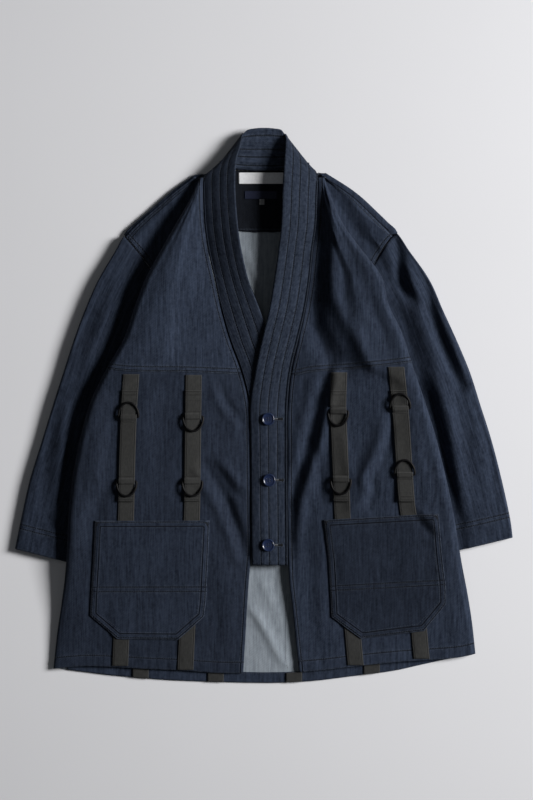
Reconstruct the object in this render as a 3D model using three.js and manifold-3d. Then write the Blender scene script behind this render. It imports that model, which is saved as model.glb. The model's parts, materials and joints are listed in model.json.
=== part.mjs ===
// A haori-style denim coat laid flat on its back: yokes, front panels, set-in sleeves, a doubled
// collar band, patch pockets and webbing straps that carry eight D-rings.
// Millimetres. Z is up, +Y runs towards the collar, -X is the wearer's right side.
import * as THREE from 'three';
import { mergeVertices } from 'three/addons/utils/BufferGeometryUtils.js';
import Module from 'manifold-3d';

const wasm = await Module();
wasm.setup();

const cloth = 1.2; // thickness of one denim wall
const bandCloth = 3; // the doubled collar band
const bandCrown = 0.8; // how much its middle stands above its edges
const seamGap = 0.3; // between pieces that are sewn edge to edge
const layGap = 0.5; // between a panel and what is sewn onto it
const webbing = { wide: 24.5, thick: 1.3 };
const ring = { wire: 2.8, inside: 26.4, tall: 22, play: 0.85 };
const button = { across: 19, thick: 3.4, hole: 1.8, holeFromCentre: 2.6, stem: 1.6 };
const buttonhole = { wide: 2.4, long: 24 };
const tuck = 6.6; // top of a sleeve where the body lies on it
const overArm = 7.5; // underside of the back where it lies over a sleeve
const headBulge = 22; // how far the sleeve's head reaches in past its underarm line
const backInset = 11; // how far the back's edge lies inside the side fold
const tubeEdge = 4.5; // how far a sleeve's rounded edge reaches in

const denim = { color: 0x242b3a, roughness: 0.88, metalness: 0 };
const webbingFinish = { color: 0x34342f, roughness: 0.85, metalness: 0 };
const blackMetal = { color: 0x0c0c0e, roughness: 0.35, metalness: 0.9 };
const navyPlastic = { color: 0x1b2740, roughness: 0.25, metalness: 0 };
const labelWhite = { color: 0xd9dadc, roughness: 0.8, metalness: 0 };
const labelNavy = { color: 0x141c30, roughness: 0.8, metalness: 0 };
const labelGrey = { color: 0x9a9da0, roughness: 0.8, metalness: 0 };

// How finely each wall is divided, across and along.
const cells = {
  yoke: [14, 13], shoulder: [5, 6], panel: [15, 27], sleeve: [20, 15], pocket: [9, 11],
  band: [3, 26], bandBack: [3, 8], facing: [4, 3], hem: [16, 1], strap: [2, 27],
};

// Each side, from shoulder to hem. body: fold is the outer edge of the front and seam its inner
// edge; crest and seamTop are the heights there, low the height of the fold's underside and roll
// half the width of the rounded fold. arm: out is the outer edge of shoulder and sleeve, limit
// where the dark gap beside the body ends, high the height of the cloth beyond it.
const right = {
  inward: 1,
  body: [
    { y: 342, fold: -95.5, seam: -91, crest: 18, seamTop: 18, low: 13, roll: 1.6 },
    { y: 324, fold: -103.5, seam: -91, crest: 22, seamTop: 19, low: 12, roll: 4 },
    { y: 309, fold: -110.5, seam: -91, crest: 25, seamTop: 20, low: 11, roll: 6 },
    { y: 271, fold: -132.5, seam: -89, crest: 29, seamTop: 20, low: 9.5, roll: 10 },
    { y: 234, fold: -153.5, seam: -84, crest: 32, seamTop: 19, low: 9.2, roll: 12 },
    { y: 189, fold: -177.5, seam: -74, crest: 34, seamTop: 18, low: 9.2, roll: 12 },
    { y: 144, fold: -194.5, seam: -64, crest: 34, seamTop: 17, low: 9.2, roll: 12 },
    { y: 99, fold: -209.5, seam: -51, crest: 34, seamTop: 16, low: 9.2, roll: 12 },
    { y: 51, fold: -235, seam: -33.5, crest: 33, seamTop: 15, low: 9.2, roll: 12 },
    { y: 1, fold: -259, seam: -22, crest: 32, seamTop: 14, low: 9.2, roll: 12 },
    { y: -51, fold: -274, seam: -20, crest: 31, seamTop: 13.5, low: 9.2, roll: 12 },
    { y: -111, fold: -286, seam: -19.5, crest: 29, seamTop: 13, low: 9.2, roll: 12 },
    { y: -171, fold: -293, seam: -19, crest: 26, seamTop: 12, low: 9.2, roll: 11 },
    { y: -219, fold: -295, seam: -18.5, crest: 23, seamTop: 11, low: 9.2, roll: 10 },
    { y: -261, fold: -298, seam: -22, crest: 20, seamTop: 10, low: 9.2, roll: 9 },
    { y: -306, fold: -304, seam: -25, crest: 15, seamTop: 8.5, low: 7.2, roll: 8 },
    { y: -351, fold: -311, seam: -27.5, crest: 11, seamTop: 7.5, low: 2.6, roll: 7 },
    { y: -402, fold: -316.5, seam: -30.5, crest: 8, seamTop: 6.8, low: 1.9, roll: 5 },
  ],
  arm: [
    { y: 345, out: -104.5, limit: -100, high: 13 },
    { y: 324, out: -133, limit: -119.5, high: 13 },
    { y: 309, out: -151, limit: -129.5, high: 13 },
    { y: 271, out: -194, limit: -163, high: 13 },
    { y: 252, out: -211.5, limit: -176.5, high: 14 },
    { y: 234, out: -223, limit: -187, high: 15 },
    { y: 189, out: -249.5, limit: -203.5, high: 16 },
    { y: 144, out: -269.5, limit: -222.5, high: 16 },
    { y: 99, out: -286, limit: -241, high: 16 },
    { y: 51, out: -301.5, limit: -250, high: 15 },
    { y: 1, out: -317.5, limit: -275.5, high: 15 },
    { y: -51, out: -333.5, limit: -284.5, high: 14 },
    { y: -111, out: -352, limit: -295, high: 13 },
    { y: -171, out: -365.5, limit: -301, high: 12 },
    { y: -215, out: -374.6, limit: -302.5, high: 11 },
    { y: -257, out: -384, limit: -306, high: 10 },
  ],
  armhole: [[-210, 253], [-180, 222], [-100, 140], [-165, 20]],
  underarm: [
    { y: 20, x: -165 },
    { y: -51, x: -168 },
    { y: -126, x: -181 },
    { y: -186, x: -198 },
    { y: -256, x: -215 },
  ],
  cuff: { outer: -215, inner: -256 },
  shoulderSeam: 2.5, // how far the seam lies in from the shoulder's edge
  hem: [
    { x: -322, y: -396 },
    { x: -276, y: -392 },
    { x: -246, y: -392 },
    { x: -171, y: -396 },
    { x: -126, y: -398 },
    { x: -66, y: -402 },
    { x: -18, y: -402 },
  ],
};

const left = {
  inward: -1,
  body: [
    { y: 342, fold: 91, seam: 81.5, crest: 20, seamTop: 20, low: 13, roll: 3 },
    { y: 324, fold: 97, seam: 81.5, crest: 23, seamTop: 21, low: 12, roll: 5 },
    { y: 309, fold: 102.5, seam: 80.5, crest: 26, seamTop: 22, low: 11, roll: 7 },
    { y: 271, fold: 119, seam: 79, crest: 30, seamTop: 22, low: 9.5, roll: 10 },
    { y: 234, fold: 144.5, seam: 74, crest: 33, seamTop: 22, low: 9.2, roll: 12 },
    { y: 189, fold: 176, seam: 69.5, crest: 35, seamTop: 21, low: 9.2, roll: 12 },
    { y: 144, fold: 187, seam: 62.5, crest: 36, seamTop: 20.5, low: 9.2, roll: 12 },
    { y: 99, fold: 206.5, seam: 52, crest: 36, seamTop: 20, low: 9.2, roll: 12 },
    { y: 51, fold: 221, seam: 41, crest: 35, seamTop: 19, low: 9.2, roll: 12 },
    { y: 1, fold: 237.5, seam: 36, crest: 34, seamTop: 18, low: 9.2, roll: 12 },
    { y: -51, fold: 254, seam: 35.5, crest: 33, seamTop: 17.5, low: 9.2, roll: 12 },
    { y: -111, fold: 269.5, seam: 35.5, crest: 31, seamTop: 17, low: 9.2, roll: 12 },
    { y: -171, fold: 282.5, seam: 36, crest: 28, seamTop: 16, low: 9.2, roll: 11 },
    { y: -219, fold: 290.5, seam: 36.5, crest: 25, seamTop: 14, low: 9.2, roll: 10 },
    { y: -261, fold: 297.5, seam: 38, crest: 21, seamTop: 12, low: 9.2, roll: 9 },
    { y: -306, fold: 306, seam: 43, crest: 16, seamTop: 10, low: 7.2, roll: 8 },
    { y: -351, fold: 313, seam: 47.5, crest: 12, seamTop: 8.5, low: 2.6, roll: 7 },
    { y: -402, fold: 318.5, seam: 53, crest: 9, seamTop: 7, low: 1.9, roll: 5 },
  ],
  arm: [
    { y: 345, out: 95, limit: 89, high: 14 },
    { y: 324, out: 126.5, limit: 104, high: 14 },
    { y: 309, out: 146, limit: 112, high: 14 },
    { y: 271, out: 185, limit: 130, high: 15 },
    { y: 252, out: 203.5, limit: 140, high: 16 },
    { y: 234, out: 218, limit: 158, high: 17 },
    { y: 189, out: 249.5, limit: 188, high: 18 },
    { y: 144, out: 269.5, limit: 201.5, high: 19 },
    { y: 99, out: 290, limit: 216.5, high: 19 },
    { y: 51, out: 310, limit: 234.5, high: 18 },
    { y: 1, out: 326, limit: 262, high: 17 },
    { y: -51, out: 342.5, limit: 276.5, high: 16 },
    { y: -111, out: 358, limit: 287, high: 15 },
    { y: -171, out: 371, limit: 294.5, high: 13 },
    { y: -198, out: 374.6, limit: 296, high: 12 },
    { y: -240, out: 380, limit: 299, high: 10 },
  ],
  armhole: [[201, 255], [185, 252], [112, 150], [144, 24]],
  underarm: [
    { y: 24, x: 144 },
    { y: -51, x: 156 },
    { y: -126, x: 174 },
    { y: -186, x: 194 },
    { y: -237, x: 214 },
  ],
  cuff: { outer: -198, inner: -237 },
  shoulderSeam: 6,
  hem: [
    { x: 36, y: -402 },
    { x: 84, y: -398 },
    { x: 144, y: -391 },
    { x: 204, y: -385 },
    { x: 264, y: -381 },
    { x: 294, y: -378 },
    { x: 322, y: -372 },
  ],
};

const yokeTop = 342;
const yokeFoot = 50; // the level the yoke seam wavers about
const hemLevel = -402;
const yokeSeam = [
  { x: -240, y: 56 },
  { x: -208, y: 52 },
  { x: -170, y: 50.6 },
  { x: -125, y: 50.6 },
  { x: -36, y: 47.6 },
  { x: 44, y: 46 },
  { x: 69, y: 50.6 },
  { x: 129, y: 55 },
  { x: 160, y: 58 },
  { x: 197, y: 62 },
  { x: 225, y: 66 },
];

// The back: edge columns, and lip, how high its edge curls up at the shoulder.
const backRows = [
  { y: 345, right: -103, left: 93, lip: 5 },
  { y: 324, right: -133, left: 126.5, lip: 6 },
  { y: 309, right: -151, left: 146, lip: 6 },
  { y: 290, right: -172, left: 166, lip: 6 },
  { y: 271, right: -194, left: 185, lip: 6 },
  { y: 256, right: -208, left: 199, lip: 5 },
  { y: 246, right: -200, left: 186, lip: 0.5 },
  { y: 234, right: -187, left: 175, lip: 0 },
  { y: 215, right: -170, left: 163, lip: 0 },
  { y: 200, right: -161, left: 156, lip: 0 },
  { y: 189, right: -155, left: 151, lip: 0 },
  { y: 170, right: -147, left: 144, lip: 0 },
  { y: 155, right: -164, left: 158, lip: 0 },
  { y: 140, right: -184.5, left: 177, lip: 0 },
];
const backTop = [
  { x: -104, y: 345 },
  { x: -60, y: 351 },
  { x: 0, y: 354 },
  { x: 55, y: 352 },
  { x: 94, y: 346 },
];
const backHem = [
  { x: -316, y: -395 },
  { x: -238, y: -405 },
  { x: -186, y: -410 },
  { x: -126, y: -414 },
  { x: 2, y: -417.4 },
  { x: 69, y: -415 },
  { x: 129, y: -408 },
  { x: 197, y: -399 },
  { x: 242, y: -389 },
  { x: 318, y: -373 },
];
const backLevels = [
  345, 324, 309, 290, 271, 256, 246, 234, 215, 200, 185, 170, 155, 140, 110, 75, 40, 0, -45, -90, -135,
  -180, -220, -250, -270, -290, -310, -330, -350, -385, -417,
];
const backShares = [0, 0.05, 0.11, 0.18, 0.26, 0.37, 0.5, 0.63, 0.74, 0.82, 0.89, 0.95, 1];
const lipTurns = [1, 0.5]; // how far round its curl each of the two outermost columns lies
const liftSlope = { from: 22, long: 50 }; // where the back comes down from a sleeve to the floor

// Largest folds: a line of points, how wide and how deep it is (a trough is negative).
const bodyFolds = [
  { wide: 16, deep: -7, line: [[86, 320], [90, 270], [98, 215], [108, 150], [125, 85], [140, 56]] },
  { wide: 20, deep: 5, line: [[112, 220], [124, 165], [146, 110], [165, 70], [178, 30]] },
  { wide: 13, deep: -7, line: [[98, 48], [88, 0], [76, -60], [58, -115], [44, -180]] },
  { wide: 12, deep: 4, line: [[80, 35], [73, -20], [58, -70], [46, -110]] },
  { wide: 14, deep: 5, line: [[178, -22], [166, -80], [150, -110], [140, -150]] },
  { wide: 12, deep: -4, line: [[-88, -90], [-66, -130], [-46, -180], [-30, -220]] },
  { wide: 14, deep: 4, line: [[-248, -40], [-258, -120]] },
  { wide: 15, deep: -5, line: [[-250, -140], [-266, -200], [-284, -250]] },
];
const armFolds = [
  { wide: 12, deep: -9, line: [[197, 250], [210, 205], [222, 165], [236, 155]] },
  { wide: 12, deep: -9, line: [[243, 155], [260, 100], [280, 55], [300, 30]] },
  { wide: 14, deep: 4, line: [[-222, 150], [-250, 95], [-280, 20]] },
  { wide: 14, deep: 3, line: [[-290, 10], [-312, -120]] },
];

// The collar band: a row for each section, from its outer, sewn edge to its inner edge.
const bandRight = [
  { outer: [-66, 365.5, 12], inner: [-31.5, 410, 17] },
  { outer: [-70, 360, 15.5], inner: [-32, 404, 20.5] },
  { outer: [-84, 350, 18], inner: [-35, 388, 22] },
  { outer: [-91, 339, 18.5], inner: [-41, 365, 23] },
  { outer: [-91, 309, 20], inner: [-42.5, 324, 25] },
  { outer: [-89, 271, 20], inner: [-39, 275, 27] },
  { outer: [-84, 234, 19], inner: [-34, 237, 27] },
  { outer: [-74, 189, 18], inner: [-23, 189, 26] },
  { outer: [-64, 144, 17], inner: [-6, 144, 23] },
  { outer: [-51, 99, 16], inner: [9, 102, 17.5] },
  { outer: [-33.5, 51, 15], inner: [24, 60, 15] },
  { outer: [-22, 1, 14], inner: [34, 3, 14] },
  { outer: [-20, -51, 13.5], inner: [34.5, -51, 13.5] },
  { outer: [-19.5, -111, 13], inner: [34.5, -111, 13] },
  { outer: [-19, -171, 12], inner: [34.5, -171, 12] },
  { outer: [-18.5, -238, 10.8], inner: [35, -238, 10.8] },
];
const bandLeft = [
  { outer: [67, 364, 12], inner: [32, 408, 17] },
  { outer: [72, 358, 15.5], inner: [33, 402, 20.5] },
  { outer: [79, 351, 18], inner: [32, 386, 22] },
  { outer: [81.5, 339, 20.5], inner: [30.5, 366, 23.5] },
  { outer: [80.5, 309, 22], inner: [28, 321, 27] },
  { outer: [79, 271, 22], inner: [26, 271, 29] },
  { outer: [74, 234, 22], inner: [22, 234, 29.5] },
  { outer: [69.5, 189, 21.5], inner: [15.5, 189, 29] },
  { outer: [62.5, 144, 21.5], inner: [8, 144, 27.5] },
  { outer: [52, 99, 21], inner: [-3, 99, 24.5] },
  { outer: [41, 51, 20.3], inner: [-13, 51, 21.5] },
  { outer: [36, 1, 19.3], inner: [-20.5, 1, 20] },
  { outer: [35.5, -51, 18.6], inner: [-20, -51, 19] },
  { outer: [35.5, -111, 18], inner: [-19.5, -111, 18.2] },
  { outer: [36, -171, 17], inner: [-19, -171, 17.2] },
  { outer: [36.5, -239, 15.4], inner: [-18, -239, 15.6] },
];
const bandBack = [
  { outer: [-63, 367.5, 8.2], inner: [-30, 409, 13] },
  { outer: [-48, 359.5, 6.5], inner: [-24, 414, 13] },
  { outer: [-25, 357, 5.5], inner: [-12, 416.4, 13] },
  { outer: [0, 356.5, 5], inner: [2, 417.1, 13] },
  { outer: [25, 357, 5.5], inner: [17, 416, 13] },
  { outer: [48, 360, 6.5], inner: [26, 414, 13] },
  { outer: [64, 366.5, 8.2], inner: [31, 408, 13] },
];

const pockets = {
  pocket_right: [
    { left: [-253, -172], right: [-81, -172] },
    { left: [-256, -231], right: [-83.5, -231] },
    { left: [-260, -291], right: [-86.5, -291] },
    { left: [-261, -315], right: [-89.5, -317] },
    { left: [-240, -333], right: [-109, -334] },
    { left: [-220, -350.5], right: [-129, -351.5] },
  ],
  pocket_left: [
    { left: [89, -171], right: [261, -161] },
    { left: [96.5, -231], right: [266.5, -221] },
    { left: [99.5, -284], right: [273, -273] },
    { left: [101, -317], right: [273.5, -297] },
    { left: [123, -333.5], right: [257, -318] },
    { left: [146, -350], right: [240.5, -338] },
  ],
};

// Straps: centre line from the yoke seam to the hem, where each D-ring's bar lies along it, and
// which way the ring lies from its bar (1 towards the collar).
const straps = [
  { panel: 'front_right_panel', line: [[-197.6, 47], [-201, 1], [-204, -75], [-206.5, -170], [-216, -391]],
    rings: [{ y: -17, lies: 1 }, { y: -113, lies: -1 }] },
  { panel: 'front_right_panel', line: [[-105, 46], [-105.5, 1], [-106.5, -75], [-108, -170], [-118, -397]],
    rings: [{ y: -16, lies: -1 }, { y: -113, lies: -1 }] },
  { panel: 'front_left_panel',
    line: [[112.5, 50], [111, 1], [113, -55], [116.5, -140], [118, -170], [138, -390]],
    rings: [{ y: -8, lies: -1 }, { y: -110, lies: -1 }] },
  { panel: 'front_left_panel',
    line: [[197, 58], [203, 1], [207.5, -60], [213, -140], [217, -170], [237, -380]],
    rings: [{ y: -4, lies: 1 }, { y: -103, lies: 1 }] },
];
const loop = { top: 23, foot: -143 }; // the second layer of webbing on each strap
const backStraps = [-185.5, -72.5, 45.5, 162.5];
const buttonPlaces = [[6.5, -20], [8, -111.5], [6.5, -209]];
const hemTurn = 16;
const pocketSwell = 0.6; // how much higher a pocket's middle lies than its edges

function clamp(value, low = 0, high = 1) {
  return Math.min(high, Math.max(low, value));
}

function mix(a, b, t) {
  return a + (b - a) * t;
}

function smooth(t) {
  const s = clamp(t);
  return s * s * (3 - 2 * s);
}

// A smooth curve through a table's rows: the value of a column where another column says.
function at(rows, by, key, where) {
  const rising = rows[rows.length - 1][by] > rows[0][by];
  let i = 0;
  while (i < rows.length - 2 && (rising ? where > rows[i + 1][by] : where < rows[i + 1][by])) i += 1;
  const slope = (k) => {
    const a = rows[Math.max(0, k - 1)];
    const b = rows[Math.min(rows.length - 1, k + 1)];
    return (b[key] - a[key]) / (b[by] - a[by]);
  };
  const span = rows[i + 1][by] - rows[i][by];
  const t = clamp((where - rows[i][by]) / span);
  const t2 = t * t;
  const t3 = t2 * t;
  return (2 * t3 - 3 * t2 + 1) * rows[i][key] + (t3 - 2 * t2 + t) * span * slope(i)
    + (3 * t2 - 2 * t3) * rows[i + 1][key] + (t3 - t2) * span * slope(i + 1);
}

// Height that a list of folds adds at a place: soft across, fading at both ends of each line.
function foldHeight(folds, x, y) {
  let height = 0;
  for (const { wide, deep, line } of folds) {
    let best = Infinity;
    let along = 0;
    for (let i = 0; i < line.length - 1; i += 1) {
      const [ax, ay] = line[i];
      const [bx, by] = line[i + 1];
      const dx = bx - ax;
      const dy = by - ay;
      const t = clamp(((x - ax) * dx + (y - ay) * dy) / (dx * dx + dy * dy));
      const far = Math.hypot(x - ax - dx * t, y - ay - dy * t);
      if (far < best) {
        best = far;
        along = (i + t) / (line.length - 1);
      }
    }
    const fade = Math.sqrt(Math.sin(Math.PI * mix(0.08, 0.92, along)));
    height += deep * Math.exp(-((best / wide) ** 2)) * fade;
  }
  return height;
}

function solidFrom(points, faces) {
  const geometry = new THREE.BufferGeometry();
  const flat = points.flatMap(({ x, y, z }) => [x, y, z]);
  geometry.setAttribute('position', new THREE.Float32BufferAttribute(flat, 3));
  geometry.setIndex(faces.flat());
  return geometry;
}

// A cloth wall over a grid of points: surface(u, v) is its outer face, and it grows by thickness
// to the other side, or to innerSurface(u, v) where that is given. round closes the grid in u, so
// that the wall is a tube.
function wall(surface, across, along, thickness, { round = false, grow = -1, innerSurface = null } = {}) {
  const columns = round ? across : across + 1;
  const outer = [];
  for (let j = 0; j <= along; j += 1) {
    for (let i = 0; i < columns; i += 1) outer.push(surface(i / across, j / along));
  }
  const index = (i, j) => j * columns + (round ? (i + columns) % columns : i);
  const point = (i, j) => outer[index(round ? i : clamp(i, 0, across), clamp(j, 0, along))];
  const normals = [];
  for (let j = 0; j <= along; j += 1) {
    for (let i = 0; i < columns; i += 1) {
      const du = new THREE.Vector3().subVectors(point(i + 1, j), point(i - 1, j));
      const dv = new THREE.Vector3().subVectors(point(i, j + 1), point(i, j - 1));
      normals.push(du.cross(dv).normalize());
    }
  }
  const middle = normals[index(Math.floor(across / (round ? 4 : 2)), Math.floor(along / 2))];
  const up = Math.sign(middle.z) || 1;
  const inner = outer.map((p, k) => (innerSurface
    ? innerSurface((k % columns) / across, Math.floor(k / columns) / along)
    : p.clone().addScaledVector(normals[k], up * grow * thickness)));
  const count = outer.length;
  const faces = [];
  const quad = (a, b, c, d) => faces.push([a, b, c], [a, c, d]);
  for (let j = 0; j < along; j += 1) {
    for (let i = 0; i < across; i += 1) {
      const [a, b, c, d] = [index(i, j), index(i + 1, j), index(i + 1, j + 1), index(i, j + 1)];
      quad(a, b, c, d);
      quad(count + d, count + c, count + b, count + a);
    }
  }
  for (let i = 0; i < across; i += 1) {
    quad(index(i + 1, 0), index(i, 0), count + index(i, 0), count + index(i + 1, 0));
    quad(index(i, along), index(i + 1, along), count + index(i + 1, along), count + index(i, along));
  }
  if (!round) {
    for (let j = 0; j < along; j += 1) {
      quad(index(0, j), index(0, j + 1), count + index(0, j + 1), count + index(0, j));
      quad(index(across, j + 1), index(across, j), count + index(across, j), count + index(across, j + 1));
    }
  }
  const points = [...outer, ...inner];
  const flip = up * grow > 0;
  const geometry = solidFrom(points, flip ? faces.map(([a, b, c]) => [a, c, b]) : faces);
  geometry.userData.outer = { grid: outer, columns, across, along };
  return geometry;
}

// Height and slope of a wall's outer face at a place in plan.
function faceAt(geometry, x, y) {
  const { grid, columns, across, along } = geometry.userData.outer;
  let found = null;
  const test = (a, b, c) => {
    const det = (b.x - a.x) * (c.y - a.y) - (c.x - a.x) * (b.y - a.y);
    const s = ((x - a.x) * (c.y - a.y) - (c.x - a.x) * (y - a.y)) / det;
    const t = ((b.x - a.x) * (y - a.y) - (x - a.x) * (b.y - a.y)) / det;
    if (s < -1e-6 || t < -1e-6 || s + t > 1 + 1e-6) return;
    const z = a.z + s * (b.z - a.z) + t * (c.z - a.z);
    if (found === null || z > found) found = z;
  };
  for (let j = 0; j < along; j += 1) {
    for (let i = 0; i < across; i += 1) {
      const a = grid[j * columns + i];
      const b = grid[j * columns + i + 1];
      const c = grid[(j + 1) * columns + i + 1];
      const d = grid[(j + 1) * columns + i];
      test(a, b, c);
      test(a, c, d);
    }
  }
  return found;
}

function toManifold(geometry) {
  const bare = new THREE.BufferGeometry();
  bare.setAttribute('position', geometry.getAttribute('position').clone());
  bare.setIndex(geometry.index ? geometry.index.clone() : null);
  const merged = mergeVertices(bare, 1e-4);
  return new wasm.Manifold(new wasm.Mesh({
    numProp: 3,
    vertProperties: new Float32Array(merged.attributes.position.array),
    triVerts: new Uint32Array(merged.index.array),
  }));
}

function fromManifold(solid) {
  const mesh = solid.getMesh();
  const geometry = new THREE.BufferGeometry();
  geometry.setAttribute('position', new THREE.Float32BufferAttribute(mesh.vertProperties, 3));
  geometry.setIndex(Array.from(mesh.triVerts));
  return geometry;
}

const coat = new THREE.Group();
const parts = {};

function add(name, geometry, finish) {
  const mesh = new THREE.Mesh(geometry, new THREE.MeshStandardMaterial(finish));
  mesh.name = name;
  coat.add(mesh);
  parts[name] = geometry;
  return mesh;
}

// Top of a front between its inner seam (share 0) and the crest of the side fold (share 1).
function frontTop(side, share, x, y) {
  const seamTop = at(side.body, 'y', 'seamTop', y);
  const crest = at(side.body, 'y', 'crest', y);
  const rise = 1 - (1 - share) ** 2;
  const fade = smooth((1 - share) * 6);
  return mix(seamTop, crest, rise) + fade * foldHeight(bodyFolds, x, y);
}

// A point of a front: around runs from the inner seam over the crest and under the side fold.
const flatShare = 0.76;
function frontPoint(side, around, level, edgeTop, edgeFoot, down) {
  const fold = at(side.body, 'y', 'fold', level);
  const seam = at(side.body, 'y', 'seam', level) - side.inward * seamGap;
  const roll = at(side.body, 'y', 'roll', level);
  const crest = at(side.body, 'y', 'crest', level);
  const low = at(side.body, 'y', 'low', level);
  const crestX = fold + side.inward * roll;
  const turn = clamp((around - flatShare) / (1 - flatShare)) * Math.PI;
  const share = clamp(around / flatShare);
  const x = mix(seam, crestX, share) - side.inward * roll * Math.sin(turn);
  const y = mix(at(edgeTop, 'x', 'y', x), at(edgeFoot, 'x', 'y', x), down);
  const z = turn > 0
    ? (crest + low) / 2 + ((crest - low) / 2) * Math.cos(turn)
    : frontTop(side, share, x, y);
  return new THREE.Vector3(x, y, z);
}

const levelLine = (y) => [{ x: -400, y }, { x: 400, y }];
const yokeSeamBelow = yokeSeam.map(({ x, y }) => ({ x, y: y - seamGap }));

// Height of the cloth beyond the body's side fold: a low gap beside it, then shoulder or sleeve.
function armTop(side, x, y) {
  const fold = at(side.body, 'y', 'fold', y);
  const limit = at(side.arm, 'y', 'limit', y);
  const high = at(side.arm, 'y', 'high', y);
  const gapWide = Math.abs(limit - fold) + 10;
  const out = (fold - x) * side.inward;
  return tuck + (high - tuck) * smooth((out - 7) / gapWide)
    + smooth((out - 10) / 20) * foldHeight(armFolds, x, y);
}

function armholeAt(side, share) {
  const curve = new THREE.CubicBezierCurve(...side.armhole.map(([x, y]) => new THREE.Vector2(x, y)));
  return curve.getPoint(share);
}

// The part of a front yoke beyond the dark gap, from the shoulder seam in under the side fold.
const underShare = 0.42; // how much of the armhole seam the shoulder piece reaches
const shoulderMost = 14; // greatest height of its top
const intoFold = 0.7; // how far its tucked edge runs into the fold's underside
function shoulderPoint(side, inside, down) {
  const corner = armholeAt(side, 0);
  const innerCorner = armholeAt(side, underShare);
  const yOut = mix(344, corner.y + seamGap, down);
  const yIn = mix(336, innerCorner.y + seamGap, down);
  const xOut = at(side.arm, 'y', 'out', yOut) + side.inward * side.shoulderSeam;
  const under = at(side.body, 'y', 'fold', yIn) + side.inward * (at(side.body, 'y', 'roll', yIn) + 2);
  const bend = down ** 4;
  const xIn = mix(under, innerCorner.x, bend);
  const edge = armholeAt(side, inside * underShare);
  const chordX = mix(corner.x, innerCorner.x, inside);
  const chordY = mix(corner.y, innerCorner.y, inside);
  const x = mix(xOut, xIn, inside) + bend * (edge.x - chordX);
  const y = mix(yOut, yIn, inside) + bend * (edge.y - chordY);
  const low = at(side.body, 'y', 'low', clamp(y, hemLevel, yokeTop));
  const top = Math.min(mix(tuck, armTop(side, x, y), smooth(inside * 4)), shoulderMost);
  const tucked = smooth((inside - 0.55) / 0.4);
  return new THREE.Vector3(x, y, mix(top, low + intoFold, tucked));
}

function addFront(name, side) {
  const yoke = wall(
    (u, v) => frontPoint(side, u, mix(yokeTop, yokeFoot, v), levelLine(yokeTop), yokeSeam, v),
    ...cells.yoke, cloth,
  );
  const shoulder = wall((u, v) => shoulderPoint(side, u, v), ...cells.shoulder, cloth);
  const joined = toManifold(yoke).add(toManifold(shoulder));
  add(`front_${name}_yoke`, fromManifold(joined), denim);
  parts[`front_${name}_yoke`] = yoke;
  add(`front_${name}_panel`, wall(
    (u, v) => frontPoint(side, u, mix(yokeFoot, hemLevel, v), yokeSeamBelow, side.hem, v),
    ...cells.panel, cloth,
  ), denim);
}

function addSleeve(name, side) {
  const head = armholeAt(side, 0);
  const pointAt = (share, down) => {
    const yOut = mix(head.y, side.cuff.outer, down);
    const yIn = mix(side.underarm[0].y, side.cuff.inner, down);
    const outer = new THREE.Vector2(at(side.arm, 'y', 'out', yOut), yOut);
    const inner = new THREE.Vector2(at(side.underarm, 'y', 'x', yIn), yIn);
    const seam = armholeAt(side, share);
    const chord = new THREE.Vector2().lerpVectors(head, armholeAt(side, 1), share);
    return outer.lerp(inner, share).addScaledVector(seam.sub(chord), (1 - down) ** 3);
  };
  const section = (around, down, inset) => {
    const turn = around * 2 * Math.PI;
    const wide = pointAt(0, down).distanceTo(pointAt(1, down));
    const spread = (1 - Math.cos(turn)) / 2;
    const place = pointAt(mix(inset / wide, 1 - inset / wide, spread), down);
    const inEdge = Math.min(spread, 1 - spread) * wide;
    const full = Math.sqrt(1 - (1 - clamp(inEdge / tubeEdge)) ** 2);
    const middle = tubeEdge * 0.75;
    const top = armTop(side, place.x, place.y) - inset;
    const z = turn < Math.PI ? mix(middle, top, full) : mix(middle, inset, full);
    return new THREE.Vector3(place.x, place.y - seamGap * (1 - down), z);
  };
  add(`sleeve_${name}`, wall((u, v) => section(u, v, 0), ...cells.sleeve, cloth, {
    round: true,
    innerSurface: (u, v) => section(u, v, cloth),
  }), denim);
}

function backEdge(side, key, level) {
  const lowest = backRows[backRows.length - 1].y;
  if (level > lowest) return at(backRows, 'y', key, level);
  return at(side.body, 'y', 'fold', Math.max(level, hemLevel)) + side.inward * backInset;
}

// The back lies on the floor, curls up at the shoulders and lies over the sleeves at the sides.
function backPoint(column, row) {
  const level = backLevels[row];
  const last = backShares.length + lipTurns.length * 2 - 1;
  const side = column < last / 2 ? right : left;
  const fromEdge = Math.min(column, last - column);
  const lip = level > 240 ? at(backRows, 'y', 'lip', level) : 0;
  const reach = Math.max(lip / 2, 0.8);
  const inner = [
    backEdge(right, 'right', level) + reach,
    backEdge(left, 'left', level) - reach,
  ];
  const turn = fromEdge < lipTurns.length ? lipTurns[fromEdge] * Math.PI * 0.85 : 0;
  const outward = lip > 0.8 ? Math.sin(turn) : lipTurns[fromEdge] ?? 0;
  const share = backShares[clamp(column - lipTurns.length, 0, backShares.length - 1)];
  const x = mix(inner[0], inner[1], share) - side.inward * reach * outward;
  const down = (345 - level) / (345 - backLevels[backLevels.length - 1]);
  const y = mix(at(backTop, 'x', 'y', clamp(x, -104, 94)), at(backHem, 'x', 'y', x), down);
  const curl = (lip / 2) * (1 - Math.cos(turn));
  const seam = at(side.underarm, 'y', 'x', clamp(y, side.cuff.inner, 20));
  const underarm = seam + side.inward * headBulge * smooth(y / 40);
  const overSleeve = smooth(1 - ((x - underarm) * side.inward - liftSlope.from) / liftSlope.long);
  const lift = overArm * smooth((200 - y) / 30) * smooth((y + 335) / 70);
  return new THREE.Vector3(x, y, Math.max(curl, lift * overSleeve));
}

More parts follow.
